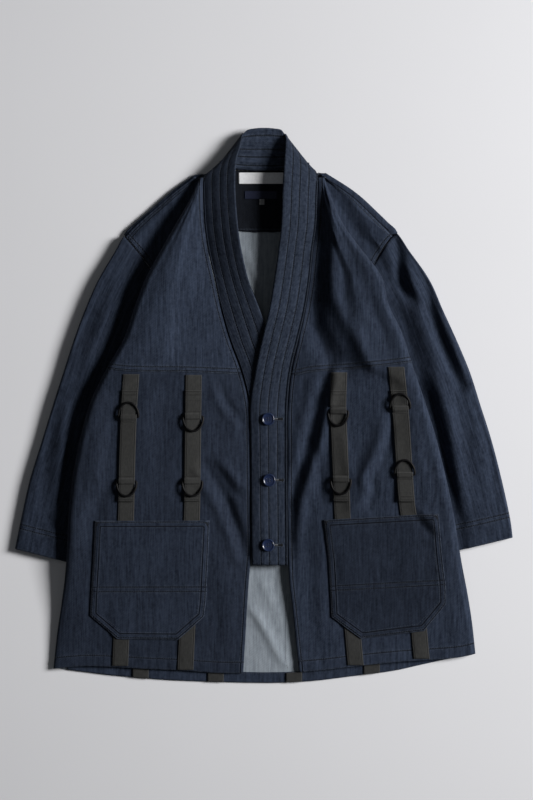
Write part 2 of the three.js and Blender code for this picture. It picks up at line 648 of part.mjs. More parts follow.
function backWall() {
  const columns = backShares.length + lipTurns.length * 2 - 1;
  const rows = backLevels.length - 1;
  const surface = (u, v) => backPoint(Math.round(u * columns), Math.round(v * rows));
  return wall(surface, columns, rows, cloth, { grow: 1 });
}

function bandWall(rows, along, side) {
  const surface = (u, v) => {
    const row = v * (rows.length - 1);
    const table = rows.map(({ outer: [ox, oy, oz], inner: [ix, iy, iz] }, k) => (
      { k, ox: ox + side * seamGap, oy, oz, ix, iy, iz }));
    const value = (key) => at(table, 'k', key, row);
    const crown = bandCrown * Math.sin(Math.PI * u);
    return new THREE.Vector3(
      mix(value('ox'), value('ix'), u),
      mix(value('oy'), value('iy'), u),
      mix(value('oz'), value('iz'), u) + crown,
    );
  };
  return wall(surface, cells.band[0], along, bandCloth);
}

function addCollar() {
  add('collar_back', bandWall(bandBack, cells.bandBack[1], 0), denim);
  add('collar_right', bandWall(bandRight, cells.band[1], 1), denim);
  const onTop = bandWall(bandLeft, cells.band[1], -1);
  let solid = toManifold(onTop);
  for (const [x, y] of buttonPlaces) {
    const slot = new THREE.BoxGeometry(buttonhole.long, buttonhole.wide, 30);
    slot.translate(x + buttonhole.long / 2 - 2, y, 18);
    solid = solid.subtract(toManifold(slot));
  }
  add('collar_left', fromManifold(solid), denim);
  parts.collar_left = onTop;
}

// A band of webbing along a centre line. rows are its stations, under(x, y) the height of what it
// lies on and lift the gap to it; each cell is raised until it clears what lies between its corners.
function ribbon(line, rows, under, lift, fixed = () => null) {
  const across = cells.strap[0];
  const place = (i, j) => {
    const y = rows[j];
    return new THREE.Vector2(at(line, 'y', 'x', y) + (i / across - 0.5) * webbing.wide, y);
  };
  const heights = rows.map((y, j) => Array.from({ length: across + 1 }, (_, i) => {
    const { x } = place(i, j);
    return fixed(x, y) ?? under(x, y) + lift;
  }));
  const steps = [0, 0.25, 0.5, 0.75, 1];
  for (let j = 0; j < rows.length - 1; j += 1) {
    for (let i = 0; i < across; i += 1) {
      let short = 0;
      for (const s of steps) {
        for (const t of steps) {
          const first = place(i, j).lerp(place(i + 1, j), s);
          const spot = first.lerp(place(i, j + 1).lerp(place(i + 1, j + 1), s), t);
          const before = mix(heights[j][i], heights[j][i + 1], s);
          const after = mix(heights[j + 1][i], heights[j + 1][i + 1], s);
          short = Math.max(short, under(spot.x, spot.y) + lift - mix(before, after, t));
        }
      }
      for (const [a, b] of [[j, i], [j, i + 1], [j + 1, i], [j + 1, i + 1]]) heights[a][b] += short;
    }
  }
  const surface = (lifted) => (u, v) => {
    const [i, j] = [Math.round(u * across), Math.round(v * (rows.length - 1))];
    const { x, y } = place(i, j);
    return new THREE.Vector3(x, y, heights[j][i] + lifted);
  };
  const cellsAlong = rows.length - 1;
  return wall(surface(webbing.thick), across, cellsAlong, webbing.thick, { innerSurface: surface(0) });
}

function evenRows(first, last, count) {
  return Array.from({ length: count + 1 }, (_, i) => mix(first, last, i / count));
}

// Stations of a strap's second layer: even ones, and closer ones over the bars it is sewn round.
function loopRows(bars) {
  const near = [-8.6, -5.8, -2.9, 2.9, 5.8, 8.6];
  const longest = 22;
  const rows = [loop.top, loop.foot, ...bars.flatMap(({ y }) => near.map((step) => y + step))];
  rows.sort((a, b) => b - a);
  return rows.flatMap((y, i) => {
    if (i === 0) return [y];
    const before = rows[i - 1];
    return evenRows(before, y, Math.ceil((before - y) / longest)).slice(1);
  });
}

// Where a ring's bar lies on a strap: its middle, its direction and its height at a given x.
function barOn(line, strap, y) {
  const x = at(line, 'y', 'x', y);
  const beside = [-3, -1.5, 0, 1.5, 3];
  const clear = (px) => Math.max(...beside.map((d) => faceAt(strap, px, y + d) ?? 0));
  const edge = webbing.wide / 2 - 0.1;
  const [low, middle, high] = [clear(x - edge), clear(x), clear(x + edge)];
  const bulge = Math.max(0, middle - (low + high) / 2);
  const radius = ring.wire / 2;
  const slope = (high - low) / (2 * edge);
  const centre = new THREE.Vector3(x, y, (low + high) / 2 + bulge + ring.play + radius);
  return { centre, direction: new THREE.Vector3(1, 0, slope).normalize(), slope, x, y };
}

// A D-ring: a straight bar and a bow, one closed loop of round wire.
function ringPath() {
  const half = ring.inside / 2 + ring.wire / 2;
  const corner = 1.8;
  const bar = [0, 1, 2, 3].map((i) => [mix(-half + corner, half - corner, i / 3), 0]);
  const bow = evenRows(0, Math.PI, 10).map((angle) => (
    [half * Math.cos(angle), corner + (ring.tall - corner) * Math.sin(angle)]));
  return [...bar, ...bow];
}

// Direction of a ring's bow as it lies: turned up from flat until its wire clears what is under it.
function bowOver(bar, lies, heightAt) {
  const ahead = new THREE.Vector3(0, lies, 0);
  ahead.addScaledVector(bar.direction, -ahead.dot(bar.direction)).normalize();
  const up = new THREE.Vector3().crossVectors(bar.direction, ahead).multiplyScalar(lies).normalize();
  for (let degrees = -40; degrees < 80; degrees += 1) {
    const angle = (degrees * Math.PI) / 180;
    const bow = ahead.clone().multiplyScalar(Math.cos(angle)).addScaledVector(up, Math.sin(angle));
    const clear = ringPath().every(([a, b]) => {
      if (b < 3) return true;
      const spot = bar.centre.clone().addScaledVector(bar.direction, a).addScaledVector(bow, b);
      return spot.z - ring.wire / 2 - heightAt(spot.x, spot.y) > 0.5;
    });
    if (clear) return bow;
  }
  return up;
}

function ringGeometry(centre, bar, bow) {
  const path = ringPath();
  const face = new THREE.Vector3().crossVectors(bar, bow).normalize();
  const spots = path.map(([a, b]) => centre.clone().addScaledVector(bar, a).addScaledVector(bow, b));
  const sides = 6;
  const points = [];
  spots.forEach((spot, i) => {
    const before = spots[(i + spots.length - 1) % spots.length];
    const after = spots[(i + 1) % spots.length];
    const along = new THREE.Vector3().subVectors(after, before).normalize();
    const out = new THREE.Vector3().crossVectors(along, face).normalize();
    for (let k = 0; k < sides; k += 1) {
      const angle = ((k + 0.5) / sides) * 2 * Math.PI;
      points.push(spot.clone().addScaledVector(out, Math.cos(angle) * ring.wire / 2)
        .addScaledVector(face, Math.sin(angle) * ring.wire / 2));
    }
  });
  const faces = [];
  for (let i = 0; i < spots.length; i += 1) {
    const next = (i + 1) % spots.length;
    for (let k = 0; k < sides; k += 1) {
      const turn = (k + 1) % sides;
      const [a, b, c, d] = [i * sides + k, next * sides + k, next * sides + turn, i * sides + turn];
      faces.push([a, b, c], [a, c, d]);
    }
  }
  return solidFrom(points, faces);
}

function addStraps() {
  const radius = ring.wire / 2;
  let ringNumber = 0;
  straps.forEach(({ panel, line, rings }, i) => {
    const route = line.map(([x, y]) => ({ x, y }));
    const face = parts[panel];
    const inset = (x, y) => mix(x, at(route, 'y', 'x', y), 0.06);
    const panelTop = (x, y) => faceAt(face, x, y) ?? 0;
    const rows = evenRows(route[0].y, route[route.length - 1].y, cells.strap[1]);
    const strap = ribbon(route, rows, panelTop, layGap);
    const bars = rings.map(({ y }) => barOn(route, strap, y));
    const roof = (x, y) => {
      const bar = bars.find((b) => Math.abs(b.y - y) < 3);
      return bar ? bar.centre.z + (x - bar.x) * bar.slope + radius + ring.play : null;
    };
    const strapTop = (x, y) => faceAt(strap, x, y) ?? faceAt(strap, inset(x, y), y) ?? 0;
    const second = ribbon(route, loopRows(rings), strapTop, layGap, roof);
    add(`strap_${i + 1}`, strap, webbingFinish);
    add(`strap_loop_${i + 1}`, second, webbingFinish);
    const heightAt = (x, y) => Math.max(panelTop(x, y), strapTop(x, y), faceAt(second, x, y) ?? 0);
    rings.forEach(({ lies }, k) => {
      const bar = bars[k];
      ringNumber += 1;
      const geometry = ringGeometry(bar.centre, bar.direction, bowOver(bar, lies, heightAt));
      const mesh = add(`d_ring_${ringNumber}`, geometry, blackMetal);
      const axis = bar.direction.clone().multiplyScalar(lies);
      mesh.userData.hinge = { through: bar.centre.toArray(), axis: axis.toArray() };
    });
  });
}

// A pocket lies on its panel and over the straps, lower at its sewn edges than in its middle.
function pocketPoint(panel, rows, u, v) {
  const table = rows.map(({ left: l, right: r }) => ({ lx: l[0], ly: l[1], rx: r[0], ry: r[1] }));
  const row = v * (rows.length - 1);
  const k = Math.min(Math.floor(row), rows.length - 2);
  const t = row - k;
  const value = (key) => mix(table[k][key], table[k + 1][key], t);
  const x = mix(value('lx'), value('rx'), u);
  const y = mix(value('ly'), value('ry'), u);
  const inEdge = smooth(Math.min(u, 1 - u, (1 - v) * 0.8) * 8);
  const overStrap = webbing.thick + layGap * 2;
  return new THREE.Vector3(x, y, faceAt(panel, x, y) + cloth + overStrap + pocketSwell * inEdge);
}

function addPockets() {
  for (const [name, rows] of Object.entries(pockets)) {
    const panel = parts[name.replace('pocket', 'front').concat('_panel')];
    add(name, wall((u, v) => pocketPoint(panel, rows, u, v), ...cells.pocket, cloth), denim);
  }
}

function addButtons() {
  const radius = button.across / 2;
  const rim = 1.1;
  buttonPlaces.forEach(([x, y], i) => {
    const under = [-6, 0, 6].map((d) => faceAt(parts.collar_left, x + d, y));
    const top = Math.max(...under) + layGap;
    const floor = faceAt(parts.collar_right, x, y) + seamGap;
    const profile = [
      [0, floor], [button.stem / 2, floor], [button.stem / 2, top], [radius - 1.6, top],
      [radius - 0.5, top + 0.7], [radius, top + 1.8], [radius - 0.6, top + button.thick - 0.3],
      [radius - rim, top + button.thick], [radius - 2.4, top + button.thick - 0.9],
      [0, top + button.thick - 1.3],
    ].map(([r, z]) => new THREE.Vector2(r, z));
    const disc = new THREE.LatheGeometry(profile, 16);
    disc.rotateX(Math.PI / 2);
    let solid = toManifold(disc);
    for (let k = 0; k < 4; k += 1) {
      const angle = Math.PI / 4 + (k * Math.PI) / 2;
      const hole = new THREE.CylinderGeometry(button.hole / 2, button.hole / 2, 12, 6);
      hole.rotateX(Math.PI / 2);
      const out = button.holeFromCentre;
      hole.translate(out * Math.cos(angle), out * Math.sin(angle), top + 2);
      solid = solid.subtract(toManifold(hole));
    }
    const geometry = fromManifold(solid);
    geometry.translate(x, y, 0);
    add(`button_${i + 1}`, geometry, navyPlastic);
  });
}

// A flat patch of cloth on the inside of the back, between two rows of edges.
function flatPatch(rows, columns, steps, floor, thickness) {
  return wall((u, v) => {
    const y0 = mix(rows[0].y, rows[rows.length - 1].y, v);
    const x = mix(at(rows, 'y', 'right', y0), at(rows, 'y', 'left', y0), u);
    return new THREE.Vector3(x, y0, floor + thickness);
  }, columns, steps, thickness);
}

function addInside() {
  const facingFloor = cloth + seamGap;
  const facing = flatPatch([
    { y: 347, right: -86, left: 76 },
    { y: 310, right: -84, left: 76 },
    { y: 285, right: -76, left: 70 },
    { y: 262, right: -50, left: 46 },
  ], ...cells.facing, facingFloor, 1);
  add('back_facing', facing, denim);
  const labelFloor = facingFloor + 1 + seamGap;
  const label = (rightX, leftX, topY, footY) => {
    const geometry = new THREE.BoxGeometry(leftX - rightX, topY - footY, 0.8);
    geometry.translate((leftX + rightX) / 2, (topY + footY) / 2, labelFloor + 0.4);
    return geometry;
  };
  add('label_main', label(-38, 30, 346, 334), labelWhite);
  add('label_small', label(-29, 20, 323, 311.3), labelNavy);
  add('size_tab', label(-6.5, 1, 311, 302.5), labelGrey);
}

function addBackHem() {
  const floor = cloth + seamGap;
  const strip = (from, to, turn, lift, thickness, columns, steps) => wall((u, v) => {
    const x = mix(from, to, u);
    const y = at(backHem, 'x', 'y', x) + mix(turn, 0.4, v);
    return new THREE.Vector3(x, y, lift + thickness);
  }, columns, steps, thickness);
  add('back_hem', strip(-296, 298, hemTurn, floor, cloth, ...cells.hem), denim);
  backStraps.forEach((x, i) => {
    add(`back_strap_${i + 1}`, strip(
      x - webbing.wide / 2, x + webbing.wide / 2, hemTurn - 1, floor + cloth + seamGap, webbing.thick, 2, 1,
    ), webbingFinish);
  });
}

add('back', backWall(), denim);
addInside();
addBackHem();
addFront('right', right);
addFront('left', left);
addSleeve('right', right);
addSleeve('left', left);
addCollar();
addStraps();
addPockets();
addButtons();

export default coat;
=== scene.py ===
# Looks of a haori-style denim coat laid flat on its back: denim panels with creases,
# a doubled collar band in quilted rows, webbing straps with black D-rings, buttons and sewing.
# Tables are in millimetres and turned into metres where a mesh is made.
import json
import math
import bmesh
import bpy
import numpy as np
from mathutils import Matrix, Vector
from mathutils.bvhtree import BVHTree


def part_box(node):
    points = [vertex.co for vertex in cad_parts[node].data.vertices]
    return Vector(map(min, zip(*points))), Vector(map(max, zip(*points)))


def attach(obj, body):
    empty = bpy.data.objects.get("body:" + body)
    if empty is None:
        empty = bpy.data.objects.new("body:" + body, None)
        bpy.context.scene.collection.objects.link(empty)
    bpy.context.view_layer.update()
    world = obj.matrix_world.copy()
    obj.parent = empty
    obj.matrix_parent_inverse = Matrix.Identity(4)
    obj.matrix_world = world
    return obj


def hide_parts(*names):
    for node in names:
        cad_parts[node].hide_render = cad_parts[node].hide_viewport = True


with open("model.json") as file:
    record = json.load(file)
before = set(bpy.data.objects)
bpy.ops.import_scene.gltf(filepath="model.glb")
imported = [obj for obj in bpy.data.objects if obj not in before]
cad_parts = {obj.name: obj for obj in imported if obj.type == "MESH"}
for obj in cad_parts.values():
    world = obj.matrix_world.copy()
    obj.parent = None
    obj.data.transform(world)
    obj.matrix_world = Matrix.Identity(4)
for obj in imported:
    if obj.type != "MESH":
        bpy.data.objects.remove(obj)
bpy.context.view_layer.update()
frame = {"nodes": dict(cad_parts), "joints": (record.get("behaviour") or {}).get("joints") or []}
scene = bpy.context.scene
mm = 0.001


def table(columns, *rows):
    return {name: np.array([row[i] for row in rows], float) for i, name in enumerate(columns.split())}


# ---- measures shared by the pieces ----
cloth = {"thick": 1.2, "seamGap": 0.3, "layGap": 0.5, "tuck": 6.6, "overArm": 7.5, "headBulge": 22,
         "tubeEdge": 4.5, "foldClear": 10}
webbing = {"wide": 24.5, "thick": 1.3}
ring = {"wire": 3.4, "inside": 26.4, "tall": 22, "corner": 1.8}
yokeTop, yokeFoot, hemLevel = 342, 50, -402

right = {
    "inward": 1, "cuff": (-215, -256), "shoulderSeam": 2.5, "ease": 0, "headLift": 2.5,
    "armhole": ((-210, 253), (-180, 222), (-100, 140), (-165, 20)),
    "body": table(
        "y fold seam crest seamTop low roll",
        (342, -95.5, -91, 18, 18, 13, 1.6), (324, -103.5, -91, 22, 19, 12, 4),
        (309, -110.5, -91, 25, 20, 11, 6), (271, -132.5, -89, 29, 20, 9.5, 10),
        (234, -153.5, -84, 32, 19, 9.2, 12), (189, -177.5, -74, 34, 18, 9.2, 12),
        (144, -194.5, -64, 34, 17, 9.2, 12), (99, -209.5, -51, 34, 16, 9.2, 12),
        (51, -235, -33.5, 33, 15, 9.2, 12), (1, -259, -22, 32, 14, 9.2, 12),
        (-51, -274, -20, 31, 13.5, 9.2, 12), (-111, -286, -19.5, 29, 13, 9.2, 12),
        (-171, -293, -19, 26, 12, 9.2, 11), (-219, -295, -18.5, 23, 11, 9.2, 10),
        (-261, -298, -22, 20, 10, 9.2, 9), (-306, -304, -25, 15, 8.5, 7.2, 8),
        (-351, -311, -27.5, 11, 7.5, 2.6, 7), (-402, -316.5, -30.5, 8, 6.8, 1.9, 5)),
    "arm": table(
        "y out limit high",
        (345, -104.5, -100, 13), (324, -133, -119.5, 13), (309, -151, -129.5, 13), (271, -194, -163, 13),
        (252, -211.5, -176.5, 14), (234, -223, -187, 15), (189, -249.5, -203.5, 16),
        (144, -269.5, -222.5, 16), (99, -286, -241, 16), (51, -301.5, -250, 15), (1, -317.5, -275.5, 15),
        (-51, -333.5, -284.5, 14), (-111, -352, -295, 13), (-171, -365.5, -301, 12),
        (-215, -374.6, -302.5, 11), (-257, -384, -306, 10)),
    "underarm": table("y x", (20, -165), (-51, -168), (-126, -181), (-186, -198), (-256, -215)),
    "hem": table(
        "x y", (-322, -396), (-276, -392), (-246, -392), (-171, -396), (-126, -398), (-66, -402), (-18, -402)),
}
left = {
    "inward": -1, "cuff": (-198, -237), "shoulderSeam": 6, "ease": 18, "headLift": 4.5,
    "armhole": ((201, 255), (185, 252), (112, 150), (144, 24)),
    "body": table(
        "y fold seam crest seamTop low roll",
        (342, 91, 81.5, 20, 20, 13, 3), (324, 97, 81.5, 23, 21, 12, 5), (309, 102.5, 80.5, 26, 22, 11, 7),
        (271, 119, 79, 30, 22, 9.5, 10), (234, 144.5, 74, 33, 22, 9.2, 12), (189, 176, 69.5, 35, 21, 9.2, 12),
        (144, 187, 62.5, 36, 20.5, 9.2, 12), (99, 206.5, 52, 36, 20, 9.2, 12), (51, 221, 41, 35, 19, 9.2, 12),
        (1, 237.5, 36, 34, 18, 9.2, 12), (-51, 254, 35.5, 33, 17.5, 9.2, 12),
        (-111, 269.5, 35.5, 31, 17, 9.2, 12), (-171, 282.5, 36, 28, 16, 9.2, 11),
        (-219, 290.5, 36.5, 25, 14, 9.2, 10), (-261, 297.5, 38, 21, 12, 9.2, 9),
        (-306, 306, 43, 16, 10, 7.2, 8), (-351, 313, 47.5, 12, 8.5, 2.6, 7), (-402, 318.5, 53, 9, 7, 1.9, 5)),
    "arm": table(
        "y out limit high",
        (345, 95, 89, 14), (324, 126.5, 104, 14), (309, 146, 112, 14), (271, 185, 130, 15),
        (252, 203.5, 140, 16), (234, 218, 158, 17), (189, 249.5, 188, 18), (144, 269.5, 201.5, 19),
        (99, 290, 216.5, 19), (51, 310, 234.5, 18), (1, 326, 262, 17), (-51, 342.5, 276.5, 16),
        (-111, 358, 287, 15), (-171, 371, 294.5, 13), (-198, 374.6, 296, 12), (-240, 380, 299, 10)),
    "underarm": table("y x", (24, 144), (-51, 156), (-126, 174), (-186, 194), (-237, 214)),
    "hem": table(
        "x y", (36, -402), (84, -398), (144, -391), (204, -385), (264, -381), (294, -378), (322, -372)),
}
yokeSeam = table(
    "x y", (-240, 56), (-208, 52), (-170, 50.6), (-125, 50.6), (-36, 47.6), (44, 46), (69, 50.6), (129, 55),
    (160, 58), (197, 62), (225, 66))
backRows = table(
    "y right left lip",
    (345, -103, 93, 5), (324, -133, 126.5, 6), (309, -151, 146, 6), (290, -172, 166, 6), (271, -194, 185, 6),
    (254, -209.5, 200.5, 5), (246, -201, 188, 0.8), (234, -187, 175, 0), (215, -170, 163, 0),
    (200, -161, 156, 0), (189, -155, 151, 0), (170, -147, 144, 0), (155, -164, 158, 0), (140, -184.5, 177, 0))
backTop = table("x y", (-104, 347), (-60, 352), (0, 354), (55, 353), (94, 349))
backHem = table(
    "x y", (-316, -395), (-238, -405), (-186, -410), (-126, -414), (2, -417.4), (69, -415), (129, -408),
    (197, -399), (242, -389), (318, -373))
bandColumns = "k ox oy oz ix iy iz"
bandRight = table(
    bandColumns,
    (0, -66, 365.5, 12, -31.5, 410, 17), (1, -70, 360, 15.5, -32, 404, 20.5), (2, -84, 350, 18, -35, 388, 22),
    (3, -91, 339, 18.5, -41, 365, 23), (4, -91, 309, 20, -42.5, 324, 25), (5, -89, 271, 20, -39, 275, 27),
    (6, -84, 234, 19, -34, 237, 27), (7, -74, 189, 18, -23, 189, 26), (8, -64, 144, 17, -6, 144, 23),
    (9, -51, 99, 16, 9, 102, 17.5), (10, -33.5, 51, 15, 24, 60, 15), (11, -22, 1, 14, 34, 3, 14),
    (12, -20, -51, 13.5, 34.5, -51, 13.5), (13, -19.5, -111, 13, 34.5, -111, 13),
    (14, -19, -171, 12, 34.5, -171, 12), (15, -18.5, -238, 10.8, 35, -238, 10.8))
bandLeft = table(
    bandColumns,
    (0, 67, 364, 12, 32, 408, 17), (1, 72, 358, 15.5, 33, 402, 20.5), (2, 79, 351, 18, 32, 386, 22),
    (3, 81.5, 339, 20.5, 30.5, 366, 23.5), (4, 80.5, 309, 22, 28, 321, 27), (5, 79, 271, 22, 26, 271, 29),
    (6, 74, 234, 22, 22, 234, 29.5), (7, 69.5, 189, 21.5, 15.5, 189, 29), (8, 62.5, 144, 21.5, 8, 144, 27.5),
    (9, 52, 99, 21, -3, 99, 24.5), (10, 41, 51, 20.3, -13, 51, 21.5), (11, 36, 1, 19.3, -20.5, 1, 20),
    (12, 35.5, -51, 18.6, -20, -51, 19), (13, 35.5, -111, 18, -19.5, -111, 18.2),
    (14, 36, -171, 17, -19, -171, 17.2), (15, 36.5, -239, 15.4, -18, -239, 15.6))
bandBack = table(
    bandColumns,
    (0, -63, 364.5, 11, -30, 409, 17), (1, -48, 356.5, 8.5, -24, 414, 17),
    (2, -25, 353.6, 6.9, -12, 416.4, 16.5), (3, 0, 353, 6.4, 2, 417.1, 16),
    (4, 25, 353.6, 6.9, 17, 416, 16.5), (5, 48, 357, 8.5, 26, 414, 17), (6, 64, 363.5, 11, 31, 408, 17))
pocketColumns = "k lx ly rx ry"
pockets = {
    "pocket_right": table(
        pocketColumns, (0, -253, -172, -81, -172), (1, -256, -231, -83.5, -231), (2, -260, -291, -86.5, -291),
        (3, -261, -315, -89.5, -317), (4, -240, -333, -109, -334), (5, -220, -350.5, -129, -351.5)),
    "pocket_left": table(
        pocketColumns, (0, 89, -171, 261, -161), (1, 96.5, -231, 266.5, -221), (2, 99.5, -284, 273, -273),
        (3, 101, -317, 273.5, -297), (4, 123, -333.5, 257, -318), (5, 146, -350, 240.5, -338)),
}
strapLines = (
    table("x y", (-197.6, 47), (-201, 1), (-204, -75), (-206.5, -170), (-216, -391)),
    table("x y", (-105, 46), (-105.5, 1), (-106.5, -75), (-108, -170), (-118, -397)),
    table("x y", (112.5, 50), (111, 1), (113, -55), (116.5, -140), (118, -170), (138, -390)),
    table("x y", (197, 58), (203, 1), (207.5, -60), (213, -140), (217, -170), (237, -380)),
)
loopEnds = (23, -143)
backStraps = (-185.5, -72.5, 45.5, 162.5)

# ---- folds: half width, depth (a trough is negative) and a line of points ----
bodyFolds = (
    (15, -8, (87, 312), (86, 262), (83, 215), (77, 168), (79, 122), (96, 84), (118, 54)),
    (15, -4, (72, 150), (74, 112), (88, 74)),
    (12, 6, (108, 305), (103, 250), (101, 205), (106, 162), (126, 120), (150, 80), (160, 58)),
    (9, -5.5, (98, 62), (90, 30), (80, -8), (68, -58), (55, -98), (43, -140), (41, -200), (40, -228)),
    (9, 5, (114, 60), (105, 30), (95, -8), (84, -58), (71, -98), (57, -140), (51, -196)),
    (8, 3, (70, 34), (60, -15), (52, -50), (46, -85)),
    (14, 5, (178, -22), (166, -80), (150, -110), (140, -150)),
    (12, -4, (-88, -90), (-66, -130), (-46, -180), (-30, -220)),
    (14, 4, (-248, -40), (-258, -120)),
    (15, -5, (-250, -140), (-266, -200), (-284, -250)),
)
armFolds = (
    (9, -8, (198, 248), (204, 210), (210, 178), (226, 156)),
    (10, -9, (243, 186), (252, 140), (264, 104), (284, 56), (296, 30)),
    (14, 4, (-222, 150), (-250, 95), (-280, 20)),
    (14, 3, (-290, 10), (-312, -120)),
)
bodyCreases = (
    (7, -3.4, (-64, 31), (-60, 12), (-51, -2), (-39, -14), (-31, -29)),
    (7, 2.6, (-75, 27), (-69, 6), (-60, -9), (-48, -23), (-39, -36)),
    (9, -5, (-88, -89), (-73, -111), (-58, -134), (-48, -164), (-36, -194), (-27, -224)),
    (9, 4, (-100, -99), (-85, -126), (-70, -150), (-58, -177), (-48, -204), (-39, -231)),
    (6.5, -3.4, (-73, -89), (-58, -111), (-46, -129), (-28, -141)),
    (6.5, 2.8, (-63, -84), (-48, -102), (-36, -117), (-25, -125)),
    (15, 3, (-250, -36), (-255, -81), (-261, -126)),
    (18, 2, (-291, -276), (-285, -321), (-288, -366)),
    (21, 2, (-63, -231), (-57, -291), (-54, -351), (-51, -393)),
    (18, -1.6, (-75, -254), (-70, -306), (-67, -366)),
    (27, 3, (-102, 309), (-126, 249), (-144, 181), (-156, 114)),
    (24, -2.5, (-84, 264), (-96, 204), (-105, 144), (-108, 84)),
    (18, 2, (-171, 159), (-183, 114), (-192, 69)),
    (21, -2, (-148, 39), (-156, -6), (-159, -51), (-156, -111)),
    (18, 2, (-171, 24), (-174, -36), (-177, -96)),
    (10.5, -2, (62, 31), (63, -14), (51, -59)),
    (7.5, 2.6, (177, -29), (171, -59), (159, -81), (150, -99), (147, -111), (153, -126), (147, -141),
     (129, -153)),
    (7.5, -3.4, (190, -36), (182, -66), (173, -90), (162, -108), (164, -129), (156, -147)),
    (15, 2.5, (122, 286), (132, 249), (144, 216), (150, 181), (153, 144)),
    (11, -3.5, (114, 300), (124, 262), (134, 226), (146, 187)),
    (12, -4, (150, 180), (164, 146), (178, 112), (190, 80)),
    (7.5, -2.2, (72, -51), (81, -81), (87, -111), (87, -141)),
    (9, 2.2, (120, -51), (128, -96), (129, -141)),
    (15, 2.5, (219, 24), (228, -36), (240, -96), (252, -156), (261, -201)),
    (10, -3.4, (240, -21), (249, -81), (261, -141), (273, -201)),
    (15, 2, (282, -231), (288, -291), (297, -351)),
    (8, 2.6, (229, -150), (247, -170), (268, -188)),
    (7, -2.6, (226, -166), (242, -184), (260, -200)),
    (15, -2, (63, -171), (69, -231), (72, -291), (75, -366)),
    (12, 1.6, (81, -201), (84, -261), (87, -321)),
)
armCreases = (
    (14, 8, (262, 30), (277, -35), (287, -95), (294, -150)),
    (10, -6, (246, 10), (262, -51), (276, -110), (286, -160)),
    (6, -2, (177, 175), (189, 183), (203, 184)),
    (10.5, 3, (246, 171), (264, 135), (282, 96), (297, 60), (309, 21)),
    (9, 3, (212, 216), (222, 189), (234, 165)),
    (13.5, 2.5, (306, 9), (318, -36), (327, -81), (333, -126)),
    (12, -2, (324, 16), (336, -36), (345, -89), (351, -141)),
    (13.5, 2.5, (-291, 9), (-303, -36), (-309, -81), (-313, -126)),
    (6, -1.5, (-324, -168), (-309, -183)),
    (12, -2.5, (-238, 181), (-258, 141), (-276, 99)),
    (15, -2, (-306, 16), (-321, -36), (-333, -89), (-339, -141)),
    (12, -2.5, (-270, 51), (-285, 9), (-294, -36)),
    (10.5, 2, (-328, -66), (-340, -111), (-346, -156)),
)


# ---- curves and heights ----
def mix(a, b, t):
    return a + (b - a) * t


def smooth(t):
    s = np.clip(t, 0, 1)
    return s * s * (3 - 2 * s)


# A smooth curve through a table: the value of a column where another column says.
def at(rows, by, key, where):
    x, y = rows[by], rows[key]
    if x[-1] < x[0]:
        x, y = x[::-1], y[::-1]
    slope = np.gradient(y, np.arange(len(y))) / np.gradient(x, np.arange(len(x)))
    where = np.asarray(where, float)
    i = np.clip(np.searchsorted(x, where) - 1, 0, len(x) - 2)
    span = x[i + 1] - x[i]
    t = np.clip((where - x[i]) / span, 0, 1)
    t2, t3 = t * t, t * t * t
    return ((2 * t3 - 3 * t2 + 1) * y[i] + (t3 - 2 * t2 + t) * span * slope[i]
            + (3 * t2 - 2 * t3) * y[i + 1] + (t3 - t2) * span * slope[i + 1])


# Height that folds add: soft across, fading at both ends of each line.
def relief(folds, x, y):
    height = np.zeros(np.shape(x))
    for wide, deep, *line in folds:
        best = np.full(np.shape(x), 1e9)
        along = np.zeros(np.shape(x))
        for i, ((ax, ay), (bx, by)) in enumerate(zip(line[:-1], line[1:])):
            dx, dy = bx - ax, by - ay
            t = np.clip(((x - ax) * dx + (y - ay) * dy) / (dx * dx + dy * dy), 0, 1)
            far = np.hypot(x - ax - dx * t, y - ay - dy * t)
            along = np.where(far < best, (i + t) / (len(line) - 1), along)
            best = np.minimum(best, far)
        height += deep * np.exp(-(best / wide) ** 2) * np.sqrt(np.sin(math.pi * mix(0.08, 0.92, along)))
    return height


# Soft random waves of about that size, from -1 to 1.
def ripple(x, y, size, seed):
    gx, gy = np.broadcast_arrays(np.asarray(x, float) / size, np.asarray(y, float) / size)
    ix, iy = np.floor(gx).astype(np.int64), np.floor(gy).astype(np.int64)
    fx, fy = smooth(gx - ix), smooth(gy - iy)

    def grain(i, j):
        n = (i * 374761393 + j * 668265263 + seed * 974634777) & 0x7fffffff
        n = ((n ^ (n >> 13)) * 1274126177) & 0x7fffffff
        return ((n ^ (n >> 16)) & 0xffff) / 0x7fff - 1

    near, far = (mix(grain(ix, j), grain(ix + 1, j), fx) for j in (iy, iy + 1))
    return mix(near, far, fy)


# The uneven lie of cloth that was folded before: broad swells, then smaller dents.
def unevenness(x, y, much=1.0, seed=0):
    return much * (1.1 * ripple(x, y, 88, seed + 1) + 0.6 * ripple(x, y * 0.7, 37, seed + 2)
                   + 0.28 * ripple(x, y * 0.8, 16, seed + 3) + 0.1 * ripple(x, y, 7.5, seed + 4))


# Puckers beside a seam, by the distance from it and the place along it.
def puckers(away, along, deep=0.5, reach=10, seed=0):
    near = np.exp(-(away / reach) ** 2)
    rope = np.sin((along + 0.8 * away) * 1.05 + 2 * ripple(along, 0, 30, seed + 7))
    rope = 0.35 * rope * np.exp(-((away - 4) / 5) ** 2)
    small, broad = ripple(along, away * 0.35, 7, seed), ripple(along + away * 0.6, away * 0.2, 13, seed + 5)
    return deep * (near * (small + 0.7 * broad) + rope)


# Where stitch rows run: a whole number on each row, for rows at those distances in a distance field.
def rowValue(distance, lines):
    distance = np.asarray(distance, float)
    value = np.full(distance.shape, -rowEnd)
    for i, line in enumerate(lines):
        start = (lines[i - 1] + line) / 2 if i else line - rowEnd * seamLook["reach"]
        near = np.clip((distance - line) / seamLook["reach"], -rowEnd, rowEnd)
        value = np.where(distance > start, i + near, value)
    return value


